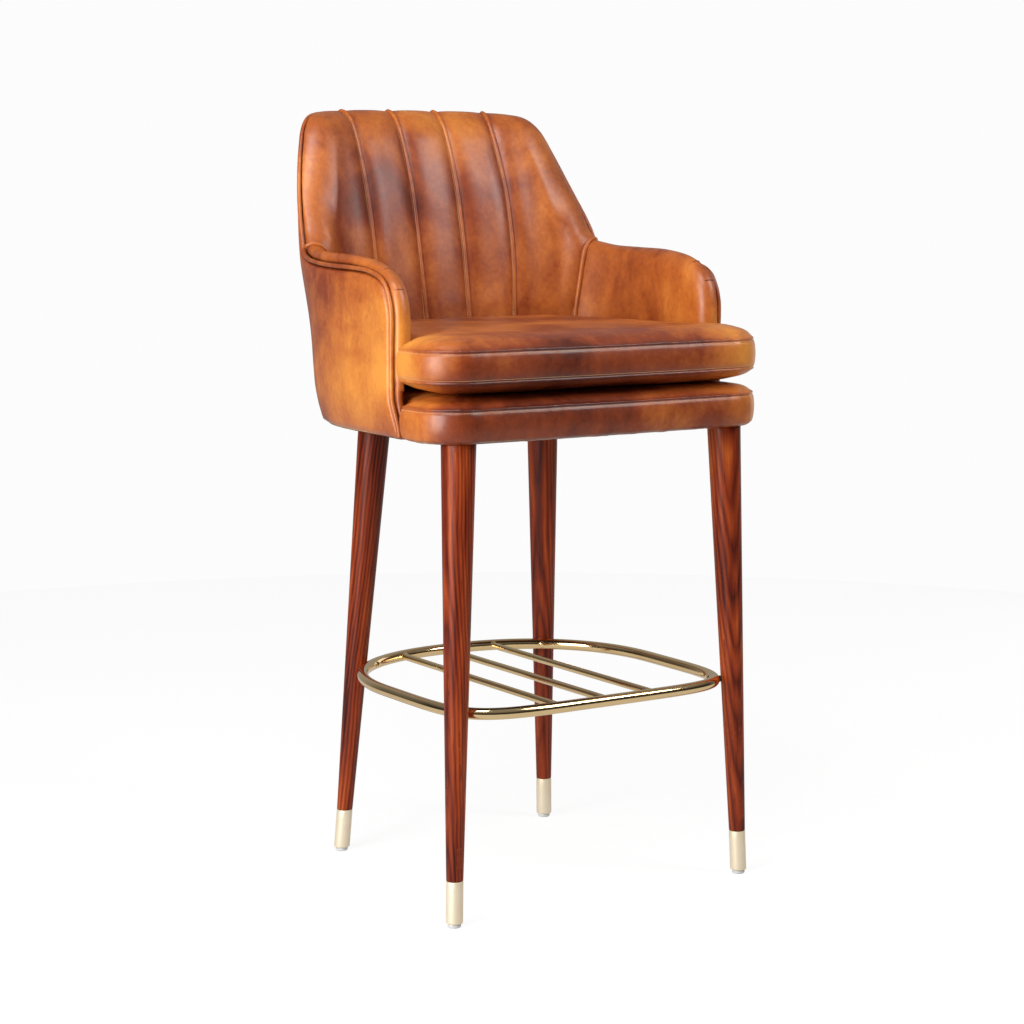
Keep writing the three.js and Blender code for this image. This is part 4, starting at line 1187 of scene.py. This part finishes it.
def coons(loop, step=1):
    """Fills a loop, of which every step-th point is given, with an even grid."""
    across = 2 * BACK_STEPS // step
    count = len(loop)
    first = count - BACK_STEPS // step              # near the middle of the front left corner
    bottom = [(first + i) % count for i in range(across + 1)]
    tall = (count - 2 * across) // 2
    right = [(bottom[-1] + i) % count for i in range(tall + 1)]
    top = [(right[-1] + i) % count for i in range(across + 1)][::-1]
    left = [(top[0] + i) % count for i in range(tall + 1)][::-1]
    b, t, l, r = (loop[index] for index in (bottom, top, left, right))
    u = np.linspace(0, 1, across + 1)[:, None, None]
    v = np.linspace(0, 1, tall + 1)[None, :, None]
    grid = ((1 - v) * b[:, None] + v * t[:, None] + (1 - u) * l[None] + u * r[None]
            - (1 - u) * (1 - v) * b[0] - u * (1 - v) * b[-1] - (1 - u) * v * t[0]
            - u * v * t[-1])
    return grid


def panel_height(share, power=2.5):
    """How far a panel has risen at a share of its rolled border."""
    return 1 - (1 - share) ** power


def share_near_seam(distances):
    """Rise of a panel that turns over close to its seam."""
    return panel_height(np.minimum(np.asarray(distances) / 0.022, 1), 2.5)


def section(body, side, distances):
    """Inset and height of a panel's border at distances from its seam, measured inwards."""
    share = np.asarray(distances) / PANEL_INSET
    if side == "top":
        rise = mix(panel_height(share, 3.0), share_near_seam(distances), body["edge_share"])
        return [(d + SEAM_INSET, body["high"] + (body["crown"] - body["high"]) * r)
                for d, r in zip(distances, rise)]
    fall = (panel_height(share, 9.0) if body["flat_bottom"]
            else mix(share ** 2 * (3 - 2 * share), share_near_seam(distances), 0.5))
    return [(d + SEAM_INSET, body["low"] + (body["bottom"] - body["low"]) * f)
            for d, f in zip(distances, fall)]


COARSE = np.array([0, 0.005, 0.010, 0.016, 0.022, 0.029, 0.036, 0.043, 0.0505, 0.058])
FINE = np.array([0, 0.0006, 0.0012, 0.0018, 0.0024, 0.0032, 0.0042, 0.0055, 0.007, 0.009, 0.0115,
                 0.0145, 0.018, 0.022, 0.0265, 0.0315, 0.037, 0.043, 0.0505, 0.058])
SIDE_COARSE = 9
SIDE_FINE = np.array([0, 0.0006, 0.0012, 0.0018, 0.0024, 0.0030, 0.0038, 0.0050, 0.0065, 0.0085,
                      0.011, 0.014, 0.0175])


def cubic_weights(knots, targets):
    """Weights that give a natural cubic spline's values at targets from its values at knots."""
    n = len(knots)
    h = np.diff(knots)
    a = np.zeros((n, n))
    r = np.zeros((n, n))
    a[0, 0] = a[-1, -1] = 1
    for i in range(1, n - 1):
        a[i, i - 1:i + 2] = h[i - 1], 2 * (h[i - 1] + h[i]), h[i]
        r[i, i - 1:i + 2] = 6 / h[i - 1], -6 / h[i - 1] - 6 / h[i], 6 / h[i]
    curve = np.linalg.solve(a, r)
    out = []
    for x in targets:
        i = min(max(np.searchsorted(knots, x) - 1, 0), n - 2)
        p = (x - knots[i]) / h[i]
        q = 1 - p
        row = ((p ** 3 - p) * curve[i + 1] + (q ** 3 - q) * curve[i]) * h[i] ** 2 / 6
        row[i] += q
        row[i + 1] += p
        out.append(row)
    return np.array(out)


def seat_levels(body, fine):
    """Rows of a seat body as (inset, height), from the bottom's middle to the top's middle, and
    how far each lies past the low seam (below 0 under it)."""
    steps = FINE if fine else COARSE
    low = section(body, "bottom", steps)[::-1]
    high = section(body, "top", steps)
    tall = body["high"] - body["low"]
    if fine:
        near = SIDE_FINE[SIDE_FINE < tall / 2 - 0.001]
        up = np.concatenate([near, [tall / 2], tall - near[::-1]])
    else:
        up = np.linspace(0, tall, SIDE_COARSE)
    side = [(SEAM_INSET - 0.003 * math.sin(math.pi * u / tall) ** 0.7, body["low"] + u)
            for u in up[1:-1]]
    rows = low + side + high
    along = np.concatenate([-steps[::-1], up[1:-1], tall + steps])
    return rows, along


CLOTH_SETTINGS = {"quality": 5, "mass": 0.3, "tension_stiffness": 25,
                  "compression_stiffness": 25, "bending_stiffness": 1.5, "use_pressure": True,
                  "uniform_pressure_force": 4, "vertex_group_mass": "held"}
CLOTH_MOMENTS = 20              # moments that the cloth is given to settle


def blow_up(piece):
    """Lets a piece swell as cloth under pressure. Its points' places before and after."""
    cloth = piece.modifiers.new("cloth", "CLOTH")
    for key, value in CLOTH_SETTINGS.items():
        setattr(cloth.settings, key, value)
    cloth.settings.effector_weights.gravity = 0
    cloth.collision_settings.use_collision = False
    cloth.point_cache.frame_start = 1
    cloth.point_cache.frame_end = CLOTH_MOMENTS
    for moment in range(1, CLOTH_MOMENTS + 1):
        bpy.context.scene.frame_set(moment)
    result = piece.evaluated_get(bpy.context.evaluated_depsgraph_get()).data
    before, after = np.zeros((2, len(piece.data.vertices) * 3))
    piece.data.vertices.foreach_get("co", before)
    result.vertices.foreach_get("co", after)
    return before, after


def swell(body, rows, neck, held_rows):
    """Blows a coarse copy of the body up as cloth under pressure and returns how far each point
    of its rows and of its two middles has moved."""
    loops = [round_smooth(seat_loop(body, inset, z, neck), 2)[::2] for inset, z in rows]
    columns = len(loops[0])
    low, high = coons(loops[0], 2), coons(loops[-1], 2)
    vertices = np.concatenate([np.concatenate(loops), low.reshape(-1, 3), high.reshape(-1, 3)])
    count = len(loops) * columns
    faces = tube_faces(len(loops), columns)
    faces += [f[::-1] for f in grid_faces(*low.shape[:2], start=count)]
    faces += grid_faces(*high.shape[:2], start=count + low.shape[0] * low.shape[1])
    mesh = new_mesh("swelling", vertices, faces)
    work = bmesh.new()
    work.from_mesh(mesh)
    origin = work.verts.layers.int.new("origin")
    for v in work.verts:
        v[origin] = v.index
    bmesh.ops.remove_doubles(work, verts=work.verts, dist=1e-6)
    bmesh.ops.recalc_face_normals(work, faces=work.faces)
    work.to_mesh(mesh)
    work.free()
    cloth_piece = new_object("swelling", mesh)
    kept = np.zeros(len(mesh.vertices), int)
    mesh.attributes["origin"].data.foreach_get("value", kept)
    held = cloth_piece.vertex_groups.new(name="held")
    for index, source in enumerate(kept):
        if source < count and source // columns in held_rows:
            held.add([index], 1.0, "REPLACE")
    before, after = blow_up(cloth_piece)
    moved = np.full((len(vertices), 3), np.nan)
    moved[kept] = (after - before).reshape(-1, 3)
    # The points of the middles' borders were merged with the rows' ends
    lost = np.where(np.isnan(moved[:, 0]))[0]
    found = np.where(~np.isnan(moved[:, 0]))[0]
    key = {tuple(np.round(vertices[i], 5)): i for i in found}
    for i in lost:
        moved[i] = moved[key.get(tuple(np.round(vertices[i], 5)), found[0])]
    bpy.data.objects.remove(cloth_piece)
    bpy.context.scene.frame_set(1)
    split = count + low.shape[0] * low.shape[1]
    return (moved[:count].reshape(len(loops), columns, 3),
            moved[count:split].reshape(low.shape), moved[split:].reshape(high.shape))


def limit(moved, most):
    """Shortens moves smoothly so that none is longer than the most allowed."""
    length = np.linalg.norm(moved, axis=-1, keepdims=True)
    most = np.broadcast_to(np.asarray(most, float)[..., None], length.shape)
    return moved * most * np.tanh(length / most) / np.maximum(length, 1e-9)


def double_columns(rows):
    """Adds a smooth column between each two columns of a closed grid."""
    between = (9 * (rows + np.roll(rows, -1, 1)) - np.roll(rows, 1, 1)
               - np.roll(rows, -2, 1)) / 16
    return np.stack([rows, between], axis=2).reshape(rows.shape[0], -1, rows.shape[2])


def finer_grid(grid):
    """A grid with a smooth row and column added between each two."""
    for axis in (0, 1):
        count = grid.shape[axis]
        weights = cubic_weights(np.arange(count), np.arange(2 * count - 1) / 2)
        grid = np.moveaxis(np.tensordot(weights, grid, axes=(1, axis)), 0, axis)
    return grid


STITCHES_FROM_SEAM = 0.0038


def seam_relief(distance, wave, band):
    """Ridge, groove and stitch line across a seam. distance is from the seam, positive on the
    band's side, where the stitches are."""
    d = distance * band
    ridge = 0.0007 * np.exp(-((d + 0.0004) / 0.0014) ** 2) * (1 + 0.25 * wave)
    groove = -0.0013 * np.exp(-((d - 0.0019) / 0.0008) ** 2)
    sewn = -0.0008 * np.exp(-((d - STITCHES_FROM_SEAM) / 0.0011) ** 2)
    pucker = 0.0007 * wave * np.exp(-np.abs(d) / 0.007)
    return ridge + groove + sewn + pucker


TIGHT = 0.0012                  # the most that leather between the arms may swell


def swollen(body, rows, along, loops, low, high, neck, caps, open_bottom):
    """The fine rows and middles of a body, moved as the cloth of its coarse copy has moved."""
    tall = body["high"] - body["low"]
    coarse, coarse_along = seat_levels(body, False)
    low_seam, high_seam = (int(np.argmin(np.abs(coarse_along - at))) for at in (0, tall))
    held_rows = {low_seam, high_seam}
    if open_bottom:
        held_rows |= {i for i, a in enumerate(coarse_along) if a < 0}
    moved, low_moved, high_moved = swell(body, coarse, neck, held_rows)
    weights = np.zeros((len(rows), len(coarse)))
    cuts = (0, low_seam, high_seam, len(coarse) - 1)
    for a, b in zip(cuts, cuts[1:]):
        inside = np.where((along >= coarse_along[a] - 1e-9)
                          & (along <= coarse_along[b] + 1e-9))[0]
        weights[inside] = 0
        weights[np.ix_(inside, range(a, b + 1))] = cubic_weights(
            coarse_along[a:b + 1], along[inside])
    shift = double_columns(np.einsum("rc,cnk->rnk", weights, moved))
    above = along > tall
    most = np.where(above, caps["top"], np.where(along < 0, caps["bottom"], caps["band"]))
    past = np.where(above, along - tall, 0.0)
    tight = np.where(above, mix(TIGHT, caps["top"], smooth(past, 0.01, 0.045)), TIGHT)
    inside_shell = smooth(loops[..., 1], body["shoulder"] - 0.03, body["shoulder"] - 0.004)
    loops = loops + limit(shift, mix(most[:, None], tight[:, None], inside_shell))
    high = high + limit(finer_grid(high_moved), caps["top"])
    low = low + limit(finer_grid(low_moved), 0.0003)
    return loops, low, high


def relief_of(body, loops, along, open_bottom):
    """How far each point of a body's rows stands off, for its seams and slack leather."""
    tall = body["high"] - body["low"]
    count, columns = loops.shape[:2]
    wave = np.array([noise.noise(Vector((r * 95, body["high"] * 50, 0.3)))
                     + 0.7 * noise.noise(Vector((r * 230, body["high"] * 90, 4.3)))
                     for r in reach_along(loops[count // 2])])
    wave = mix(wave, np.roll(wave, 1), 0.5)[None, :]
    relief = seam_relief(along[:, None] - tall, wave, -1.0)
    if not open_bottom:
        relief = relief + seam_relief(along[:, None], np.roll(wave, 137, 1), 1.0)
    else:
        hem = np.array([noise.noise(Vector((r * 60, 9.1, 0.3)))
                        for r in reach_along(loops[count // 2])])[None, :]
        relief = relief + 0.0011 * hem * smooth(-along, -0.012, 0.004)[:, None]
    broad = ripple(loops[::4, ::8], 14, 5.5)
    broad = np.repeat(np.repeat(broad, 4, 0), 8, 1)[:count, :columns]
    for _ in range(6):
        broad = (np.roll(broad, 1, 1) + np.roll(broad, -1, 1) + 2 * broad) / 4
        broad[1:-1] = (broad[:-2] + broad[2:] + 2 * broad[1:-1]) / 4
    return relief + 0.0009 * broad


def middle_faces(shape, start, ring_start, columns, flip):
    """Faces of a middle, whose points follow start. Its border is the ring of columns points that
    follow ring_start, with one more point between each two of the border's."""
    total = columns // 2
    corner = total - BACK_STEPS
    border = [start + v for v in border_of(*shape)]
    on_ring = {}
    between = {}
    for i, v in enumerate(border):
        place = 2 * ((corner + i) % total)
        on_ring[v] = ring_start + place
        between[(v, border[(i + 1) % total])] = ring_start + (place + 1) % columns
    faces = []
    for face in grid_faces(*shape, start):
        loop = []
        for a, b in zip(face, face[1:] + face[:1]):
            loop.append(on_ring.get(a, a))
            added = between.get((a, b), between.get((b, a)))
            if added is not None:
                loop.append(added)
        faces.append(tuple(loop[::-1] if flip else loop))
    return faces


def sew_rows(name, body, loops, normal, rows, ride_on):
    """Thread along rows of a body's band, except where the shell hides them."""
    parts = []
    for row in rows:
        path = np.concatenate([loops[row], loops[row, :1]])
        up = np.concatenate([normal[row], normal[row, :1]])
        hidden = path[:, 1] > body["shoulder"] + 0.03
        runs = np.split(np.arange(len(path)), np.where(np.diff(hidden.astype(int)))[0] + 1)
        for run in runs:
            if len(run) > 4 and not hidden[run[0]]:
                parts.append(stitches(path[run] + up[run] * 0.0002, up[run], radius=0.00055))
    vertices, faces = join(parts)
    make(name, vertices, faces, ride_on, slot="piping", material=THREAD)


def build_seat_body(name, node, body, neck, ride_on, caps, open_bottom):
    """A T-shaped seat body. neck gives the depth of its back in the shell, caps the most that its
    leather may swell. An open bottom ends in a hem under the low seam."""
    rows, along = seat_levels(body, True)
    loops = np.array([round_smooth(seat_loop(body, inset, z, neck), 2) for inset, z in rows])
    low, high = coons(loops[0]), coons(loops[-1])
    tall = body["high"] - body["low"]
    loops, low, high = swollen(body, rows, along, loops, low, high, neck, caps, open_bottom)
    loops = double_columns(loops)
    if open_bottom:
        first = int(np.argmin(np.abs(along + HEM_WIDTH)))
        loops = loops[first:]
        along = along[first:]
    count, columns = loops.shape[:2]
    round_it = np.roll(loops, -1, 1) - np.roll(loops, 1, 1)
    normal = unit(np.cross(round_it, np.gradient(loops, axis=0)))
    loops = loops + normal * relief_of(body, loops, along, open_bottom)[..., None]
    vertices = [loops.reshape(-1, 3)]
    faces = tube_faces(count, columns)
    start = count * columns
    middles = [(high, start - columns, False)] + ([] if open_bottom else [(low, 0, True)])
    for grid, ring_start, flip in middles:
        vertices.append(grid.reshape(-1, 3))
        faces += middle_faces(grid.shape[:2], start, ring_start, columns, flip)
        start += grid.shape[0] * grid.shape[1]
    vertices = np.concatenate(vertices)
    near = np.ones(len(vertices))
    near[:count * columns] = np.repeat(
        np.minimum(np.abs(along - tall), 1.0 if open_bottom else np.abs(along)), columns)
    # darker at the seams: wear, and painted shade in the seams' grooves
    wear_and_shade = 0.75 * np.exp(-near / 0.0030) + 0.15 * np.exp(-near / 0.014)
    piece = leather_piece(name, vertices, faces, ride_on, node, wear_and_shade=wear_and_shade)
    seams = [tall - STITCHES_FROM_SEAM] + ([] if open_bottom else [STITCHES_FROM_SEAM])
    sewn = [int(np.argmin(np.abs(along - at))) for at in seams]
    sew_rows(f"{name}_thread", body, loops, normal, sewn, ride_on)


build_seat_body("cushion_leather", "seat_cushion", CUSHION, cushion_neck, "seat_cushion",
                {"top": 0.0022, "band": 0.0008, "bottom": 0.001}, False)
build_seat_body("seat_base_leather", "seat_base_pad", BASE, base_neck, "root",
                {"top": 0.0012, "band": 0.0008, "bottom": 0.0003}, True)


# ------------------------------------------------------------------ legs, ferrules and glides

UNDERSIDE = 0.639
LEGS = {
    "front_left": ((-0.237, -0.192), (-0.2165, -0.1728)),
    "front_right": ((0.237, -0.192), (0.2165, -0.1728)),
    "back_left": ((-0.1787, 0.2195), (-0.1433, 0.1728)),
    "back_right": ((0.1787, 0.2195), (0.1433, 0.1728)),
}
FERRULE_TOP = 0.0627
LEG_RADIUS = (0.0114, 0.0233)   # above the ferrule and at the top
TENON = (0.0100, 0.0090)        # radius of the leg's end in the ferrule, and its height
BORE = (0.0056, 0.0300)         # radius of the bore for the glide's insert, and where it ends
FERRULE_RADIUS = 0.0115
GRAIN_TURN = (0.4, 1.9)         # turn of the first leg's grain, and what each next leg adds
GRAIN_SHIFT = 1.3               # how far along the same wood each next leg is cut


def leg_axis(name, z):
    foot, top = LEGS[name]
    share = z / UNDERSIDE
    return mix(foot[0], top[0], share), mix(foot[1], top[1], share) + LEG_MIDDLE_Y


def turned(name, profile, sides=72):
    """A turned piece round a leg's axis from a profile of (radius, height)."""
    turn = 2 * math.pi * np.arange(sides) / sides
    vertices = []
    for radius, z in profile:
        x, y = leg_axis(name, z)
        for t in turn:
            vertices.append((x + radius * math.cos(t), y + radius * math.sin(t), z))
    return np.array(vertices), tube_faces(len(profile), sides)


def leg_radius(z):
    return mix(*LEG_RADIUS, (z - FERRULE_TOP) / (UNDERSIDE - FERRULE_TOP))


def sharp_by_angle(piece, degrees=32):
    """Marks the edges that turn by more than an angle as sharp."""
    mesh = piece.data
    work = bmesh.new()
    work.from_mesh(mesh)
    for edge in work.edges:
        edge.smooth = len(edge.link_faces) != 2 or edge.calc_face_angle(0) < math.radians(degrees)
    work.to_mesh(mesh)
    work.free()


def build_leg(name, index):
    """A turned leg with its foot's bore. Each leg shows another side of the same wood."""
    profile = [(0.0, UNDERSIDE), (LEG_RADIUS[1] - 0.0012, UNDERSIDE),
               (LEG_RADIUS[1] - 0.0003, UNDERSIDE - 0.0004), (LEG_RADIUS[1], UNDERSIDE - 0.0014)]
    for z in np.linspace(UNDERSIDE - 0.01, FERRULE_TOP + 0.003, 40):
        profile.append((leg_radius(z), z))
    profile += [(LEG_RADIUS[0] - 0.0001, FERRULE_TOP + 0.0008),
                (LEG_RADIUS[0] - 0.0007, FERRULE_TOP + 0.0002), (TENON[0], FERRULE_TOP),
                TENON, (BORE[0], TENON[1]), BORE, (0.0, BORE[1])]
    vertices, faces = turned(name, profile)
    axis_x, axis_y = leg_axis(name, vertices[:, 2])
    angle = index * GRAIN_TURN[1] + GRAIN_TURN[0]
    dx, dy = vertices[:, 0] - axis_x, vertices[:, 1] - axis_y
    grain = np.column_stack([dx * math.cos(angle) - dy * math.sin(angle),
                             dx * math.sin(angle) + dy * math.cos(angle),
                             vertices[:, 2] + index * GRAIN_SHIFT])
    piece = make(f"turned_leg_{name}", vertices, faces, "root", f"leg_{name}", slot="rosewood",
                 material=ROSEWOOD, weld=1e-7)
    add_vector(piece, "grain", vertices, grain)
    sharp_by_angle(piece)


def add_vector(piece, field, vertices, values):
    """Stores a vector on the piece's points, found again by their places."""
    key = {tuple(np.round(v, 6)): w for v, w in zip(vertices, values)}
    attribute = piece.data.attributes.new(field, "FLOAT_VECTOR", "POINT")
    for v, item in zip(piece.data.vertices, attribute.data):
        item.vector = key.get(tuple(np.round(np.array(v.co, float), 6)), values[0])


def build_ferrule(name):
    """A thin brass cup over the leg's foot, with a hole for the glide's stud."""
    r = FERRULE_RADIUS
    profile = [(0.0102, FERRULE_TOP - 0.0012), (0.0104, FERRULE_TOP - 0.0002),
               (r - 0.0006, FERRULE_TOP), (r - 0.00015, FERRULE_TOP - 0.0003),
               (r, FERRULE_TOP - 0.0009), (r, 0.0500), (r, 0.0300), (r, 0.0080),
               (r - 0.0001, 0.0070), (r - 0.0005, 0.0063), (r - 0.0012, 0.0060), (0.0050, 0.0060),
               (0.0043, 0.0064), (0.0043, 0.0080), (0.0102, 0.0082), (0.0102, 0.0300),
               (0.0102, FERRULE_TOP - 0.0012)]
    vertices, faces = turned(name, profile)
    piece = make(f"turned_ferrule_{name}", vertices, faces, "root", f"ferrule_{name}",
                 slot="satin_brass", material=SATIN)
    sharp_by_angle(piece, 40)


def build_glide(name):
    """A round foot with its stud, which rides on the glide's own body."""
    profile = [(0.0, FLOOR), (0.0062, FLOOR), (0.0078, FLOOR + 0.0004), (0.0088, FLOOR + 0.0014),
               (0.0090, FLOOR + 0.0028), (0.0089, FLOOR + 0.0044), (0.0084, FLOOR + 0.0053),
               (0.0077, FLOOR + 0.0055), (0.0034, FLOOR + 0.0055), (0.0030, FLOOR + 0.0058),
               (0.0030, 0.0236), (0.0026, 0.0240), (0.0, 0.0240)]
    vertices, faces = turned(name, profile, 48)
    piece = make(f"moulded_glide_{name}", vertices, faces, f"glide_{name}", f"glide_{name}",
                 slot="nylon", material=NYLON)
    sharp_by_angle(piece)


# ------------------------------------------------------------------ footrest

RING_HEIGHT = 0.281
RING = {"half_width": 0.2226, "centre": 0.0065 + LEG_MIDDLE_Y, "half_depth": 0.2155,
        "tube": 0.008, "front": 5.45, "back": 2.22}
RING_JOINT = (0.197, -0.222)    # where the bent tube's ends meet, in plan
BAR_RADIUS = 0.005
BAR_PLACES = (-0.078, 0.0, 0.078)


def ring_point(angle):
    c, s = np.cos(angle), np.sin(angle)
    n = np.where(s < 0, RING["front"], RING["back"])
    r = (np.abs(c) ** n + np.abs(s) ** n) ** (-1 / n)
    return np.stack([RING["half_width"] * r * c, RING["centre"] + RING["half_depth"] * r * s],
                    axis=-1)


def build_ring():
    """The footrest's bent tube. Its ends meet in a butt that is dressed flush but shows as a
    hairline."""
    dense = ring_point(np.linspace(0, 2 * math.pi, 4001))
    loop = resample(dense, 361)[:-1]
    loop = round_smooth(loop, 3)
    path = np.column_stack([loop, np.full(len(loop), RING_HEIGHT)])
    joint = int(np.argmin(np.linalg.norm(path[:, :2] - RING_JOINT, axis=1)))
    heading = unit(path[(joint + 1) % len(path)] - path[joint])
    cut = [path[joint] + heading * d for d in (-0.0012, -0.00025, 0.0, 0.00025, 0.0012)]
    path = np.concatenate([path[:joint], cut, path[joint + 1:]])
    radius = np.full(len(path), RING["tube"])
    radius[joint + 2] -= 0.00035
    vertices, faces = sweep(path, radius, 40, closed=True)
    make("bent_footrest_ring", vertices, faces, "root", "footrest_ring", slot="polished_brass",
         material=POLISHED)


def ring_depth_at(x, front):
    angle = np.linspace(math.pi, 2 * math.pi, 4001) if front else np.linspace(0, math.pi, 4001)
    points = ring_point(angle)
    return float(points[np.argmin(np.abs(points[:, 0] - x)), 1])


def build_bars():
    """The three cross bars, which flare where they are brazed to the ring."""
    for name, x in zip(("left", "middle", "right"), BAR_PLACES):
        y0 = ring_depth_at(x, True) + RING["tube"] * 0.75
        y1 = ring_depth_at(x, False) - RING["tube"] * 0.75
        along = [0, 0.0006, 0.0014, 0.0024, 0.0036, 0.005]
        flare = [0.0016, 0.0014, 0.0010, 0.0005, 0.0001, 0.0]
        ys = [y0 + a for a in along] + list(np.linspace(y0 + 0.02, y1 - 0.02, 24))
        ys += [y1 - a for a in along[::-1]]
        radius = [BAR_RADIUS + f for f in flare] + [BAR_RADIUS] * 24
        radius += [BAR_RADIUS + f for f in flare[::-1]]
        path = np.column_stack([np.full(len(ys), x), ys, np.full(len(ys), RING_HEIGHT)])
        vertices, faces = sweep(path, np.array(radius), 28)
        make(f"brazed_bar_{name}", vertices, faces, "root", f"footrest_bar_{name}",
             slot="polished_brass", material=POLISHED)


# Radius of a dome head's rings, and how far towards the leg each lies
DOME_PROFILE = [(0.0049, 0.0014), (0.0050, 0.0), (0.0048, -0.0008), (0.0041, -0.0018),
                (0.0032, -0.0024), (0.0027, -0.0026)]
DOME_SIDES = 36
SOCKET_HALF = 0.0022            # half of the hexagonal socket's width across its flats
SOCKET_RIM = -0.0025
SOCKET_FLOOR = -0.0005


def build_screws():
    """Dome heads with a hexagonal socket, inside the ring, over the CAD screws' shanks."""
    turn = 2 * math.pi * np.arange(DOME_SIDES) / DOME_SIDES
    hexagon = SOCKET_HALF / np.cos(turn % (math.pi / 3) - math.pi / 6)
    rings = [(np.full(DOME_SIDES, radius), out) for radius, out in DOME_PROFILE]
    rings += [(hexagon, SOCKET_RIM), (hexagon, SOCKET_FLOOR)]
    dense = ring_point(np.linspace(0, 2 * math.pi, 4001))
    for name in LEGS:
        leg = np.array(leg_axis(name, RING_HEIGHT))
        hit = dense[np.argmin(np.linalg.norm(dense - leg, axis=1))]
        axis = unit(leg - hit)
        seat = hit - axis * (RING["tube"] - 0.0006)
        base = np.array([seat[0], seat[1], RING_HEIGHT])
        forward = np.array([axis[0], axis[1], 0])
        side = np.array([-axis[1], axis[0], 0])
        up = np.array([0, 0, 1.0])
        spokes = np.outer(np.cos(turn), side) + np.outer(np.sin(turn), up)
        vertices = np.concatenate([base + forward * out + spokes * radius[:, None]
                                   for radius, out in rings])
        faces = tube_faces(len(rings), DOME_SIDES) + end_faces(len(rings), DOME_SIDES)
        piece = make(f"dome_head_{name}", vertices, faces, "root", slot="polished_brass",
                     material=POLISHED)
        sharp_by_angle(piece)


for index, name in enumerate(LEGS):
    build_leg(name, index)
    build_ferrule(name)
    build_glide(name)
build_ring()
build_bars()
build_screws()


# ------------------------------------------------------------------ studio and camera

AZIMUTH = math.radians(-32.9015)
ELEVATION = math.radians(7.8058)
CAMERA_PLACE = (-1.89921, -2.95296, 0.98878)
LENS = 87.43


def build_camera():
    """The photograph's camera."""
    data = bpy.data.cameras.new("camera")
    data.lens = LENS
    data.sensor_width = 36
    data.clip_end = 60
    camera = new_object("camera", data)
    camera.location = CAMERA_PLACE
    camera.rotation_euler = (math.pi / 2 - ELEVATION, 0, AZIMUTH)
    bpy.context.scene.camera = camera


FLOOR_REACH = 2.6
FLOOR_SIDES = 64
FLOOR_GLOW = 0.886              # how bright the floor looks
FLOOR_LIGHT = 0.46              # how much light it gives
ROOM_DIM = 0.03
CEILING = 0.22
WALL = 0.32
BACKDROP = 0.975
WALL_WAY = (0.538, 0.832, 0.0)  # towards the white wall behind the object


def build_floor():
    """White studio paper, which glows for the camera and lights the stool less."""
    rim = [(FLOOR_REACH * math.cos(t), FLOOR_REACH * math.sin(t), FLOOR)
           for t in np.linspace(0, 2 * math.pi, FLOOR_SIDES + 1)[:-1]]
    floor = new_object("studio_floor", new_mesh("floor", rim, [tuple(range(FLOOR_SIDES))]))
    n = Nodes("studio_paper")
    fibres = n.noise(n.place(), 40.0, 3.0)
    colour = n.ramp(fibres, [(0.3, (0.12, 0.12, 0.12)), (0.7, (0.13, 0.13, 0.13))])
    ray = n.new("ShaderNodeLightPath").outputs["Is Camera Ray"]
    glow = n.remap(ray, 0.0, 1.0, FLOOR_LIGHT, FLOOR_GLOW)
    floor.data.materials.append(n.finish(base_color=colour, roughness=0.85,
                                         emission_color=(1, 1, 1, 1), emission_strength=glow))


def area_light(name, place, target, size, power):
    """A rectangular lamp at a place that points at a target."""
    data = bpy.data.lights.new(name, "AREA")
    data.shape = "RECTANGLE"
    data.size, data.size_y = size
    data.energy = power
    light = new_object(name, data)
    light.location = place
    aim = Vector(target) - Vector(place)
    light.rotation_euler = aim.to_track_quat("-Z", "Y").to_euler()


def build_world():
    """A white room: bright ceiling and back wall, and a dim side where the viewer stands."""
    world = bpy.data.worlds.new("studio")
    bpy.context.scene.world = world
    n = Nodes("studio", world)
    way = n.new("ShaderNodeTexCoord").outputs["Generated"]
    height = n.new("ShaderNodeSeparateXYZ", {"Vector": way}).outputs[2]
    facing = n.new("ShaderNodeVectorMath", {0: way, 1: WALL_WAY},
                   operation="DOT_PRODUCT").outputs["Value"]
    ceiling = n.remap(height, 0.20, 0.75, ROOM_DIM, CEILING, "SMOOTHSTEP")
    wall = n.remap(facing, 0.1, 0.9, 0.0, WALL, "SMOOTHSTEP")
    light = n.math("MAXIMUM", ceiling, wall)
    ray = n.new("ShaderNodeLightPath").outputs["Is Camera Ray"]
    n.finish(color=(1, 1, 1, 1), strength=n.remap(ray, 0.0, 1.0, light, BACKDROP))


build_world()
build_floor()
build_camera()
area_light("key", (-2.8, -0.8, 1.2), (0, 0, 0.7), (1.5, 2.0), 88)
area_light("high", (-1.1, -0.9, 2.7), (0, 0, 0.8), (1.0, 1.0), 30)
area_light("front", (1.4, -1.7, 2.3), (0, 0, 0.9), (0.8, 1.2), 30)
area_light("side", (2.4, 0.7, 0.9), (0, 0, 0.8), (0.7, 1.6), 3)
bpy.context.scene.view_settings.view_transform = "Standard"
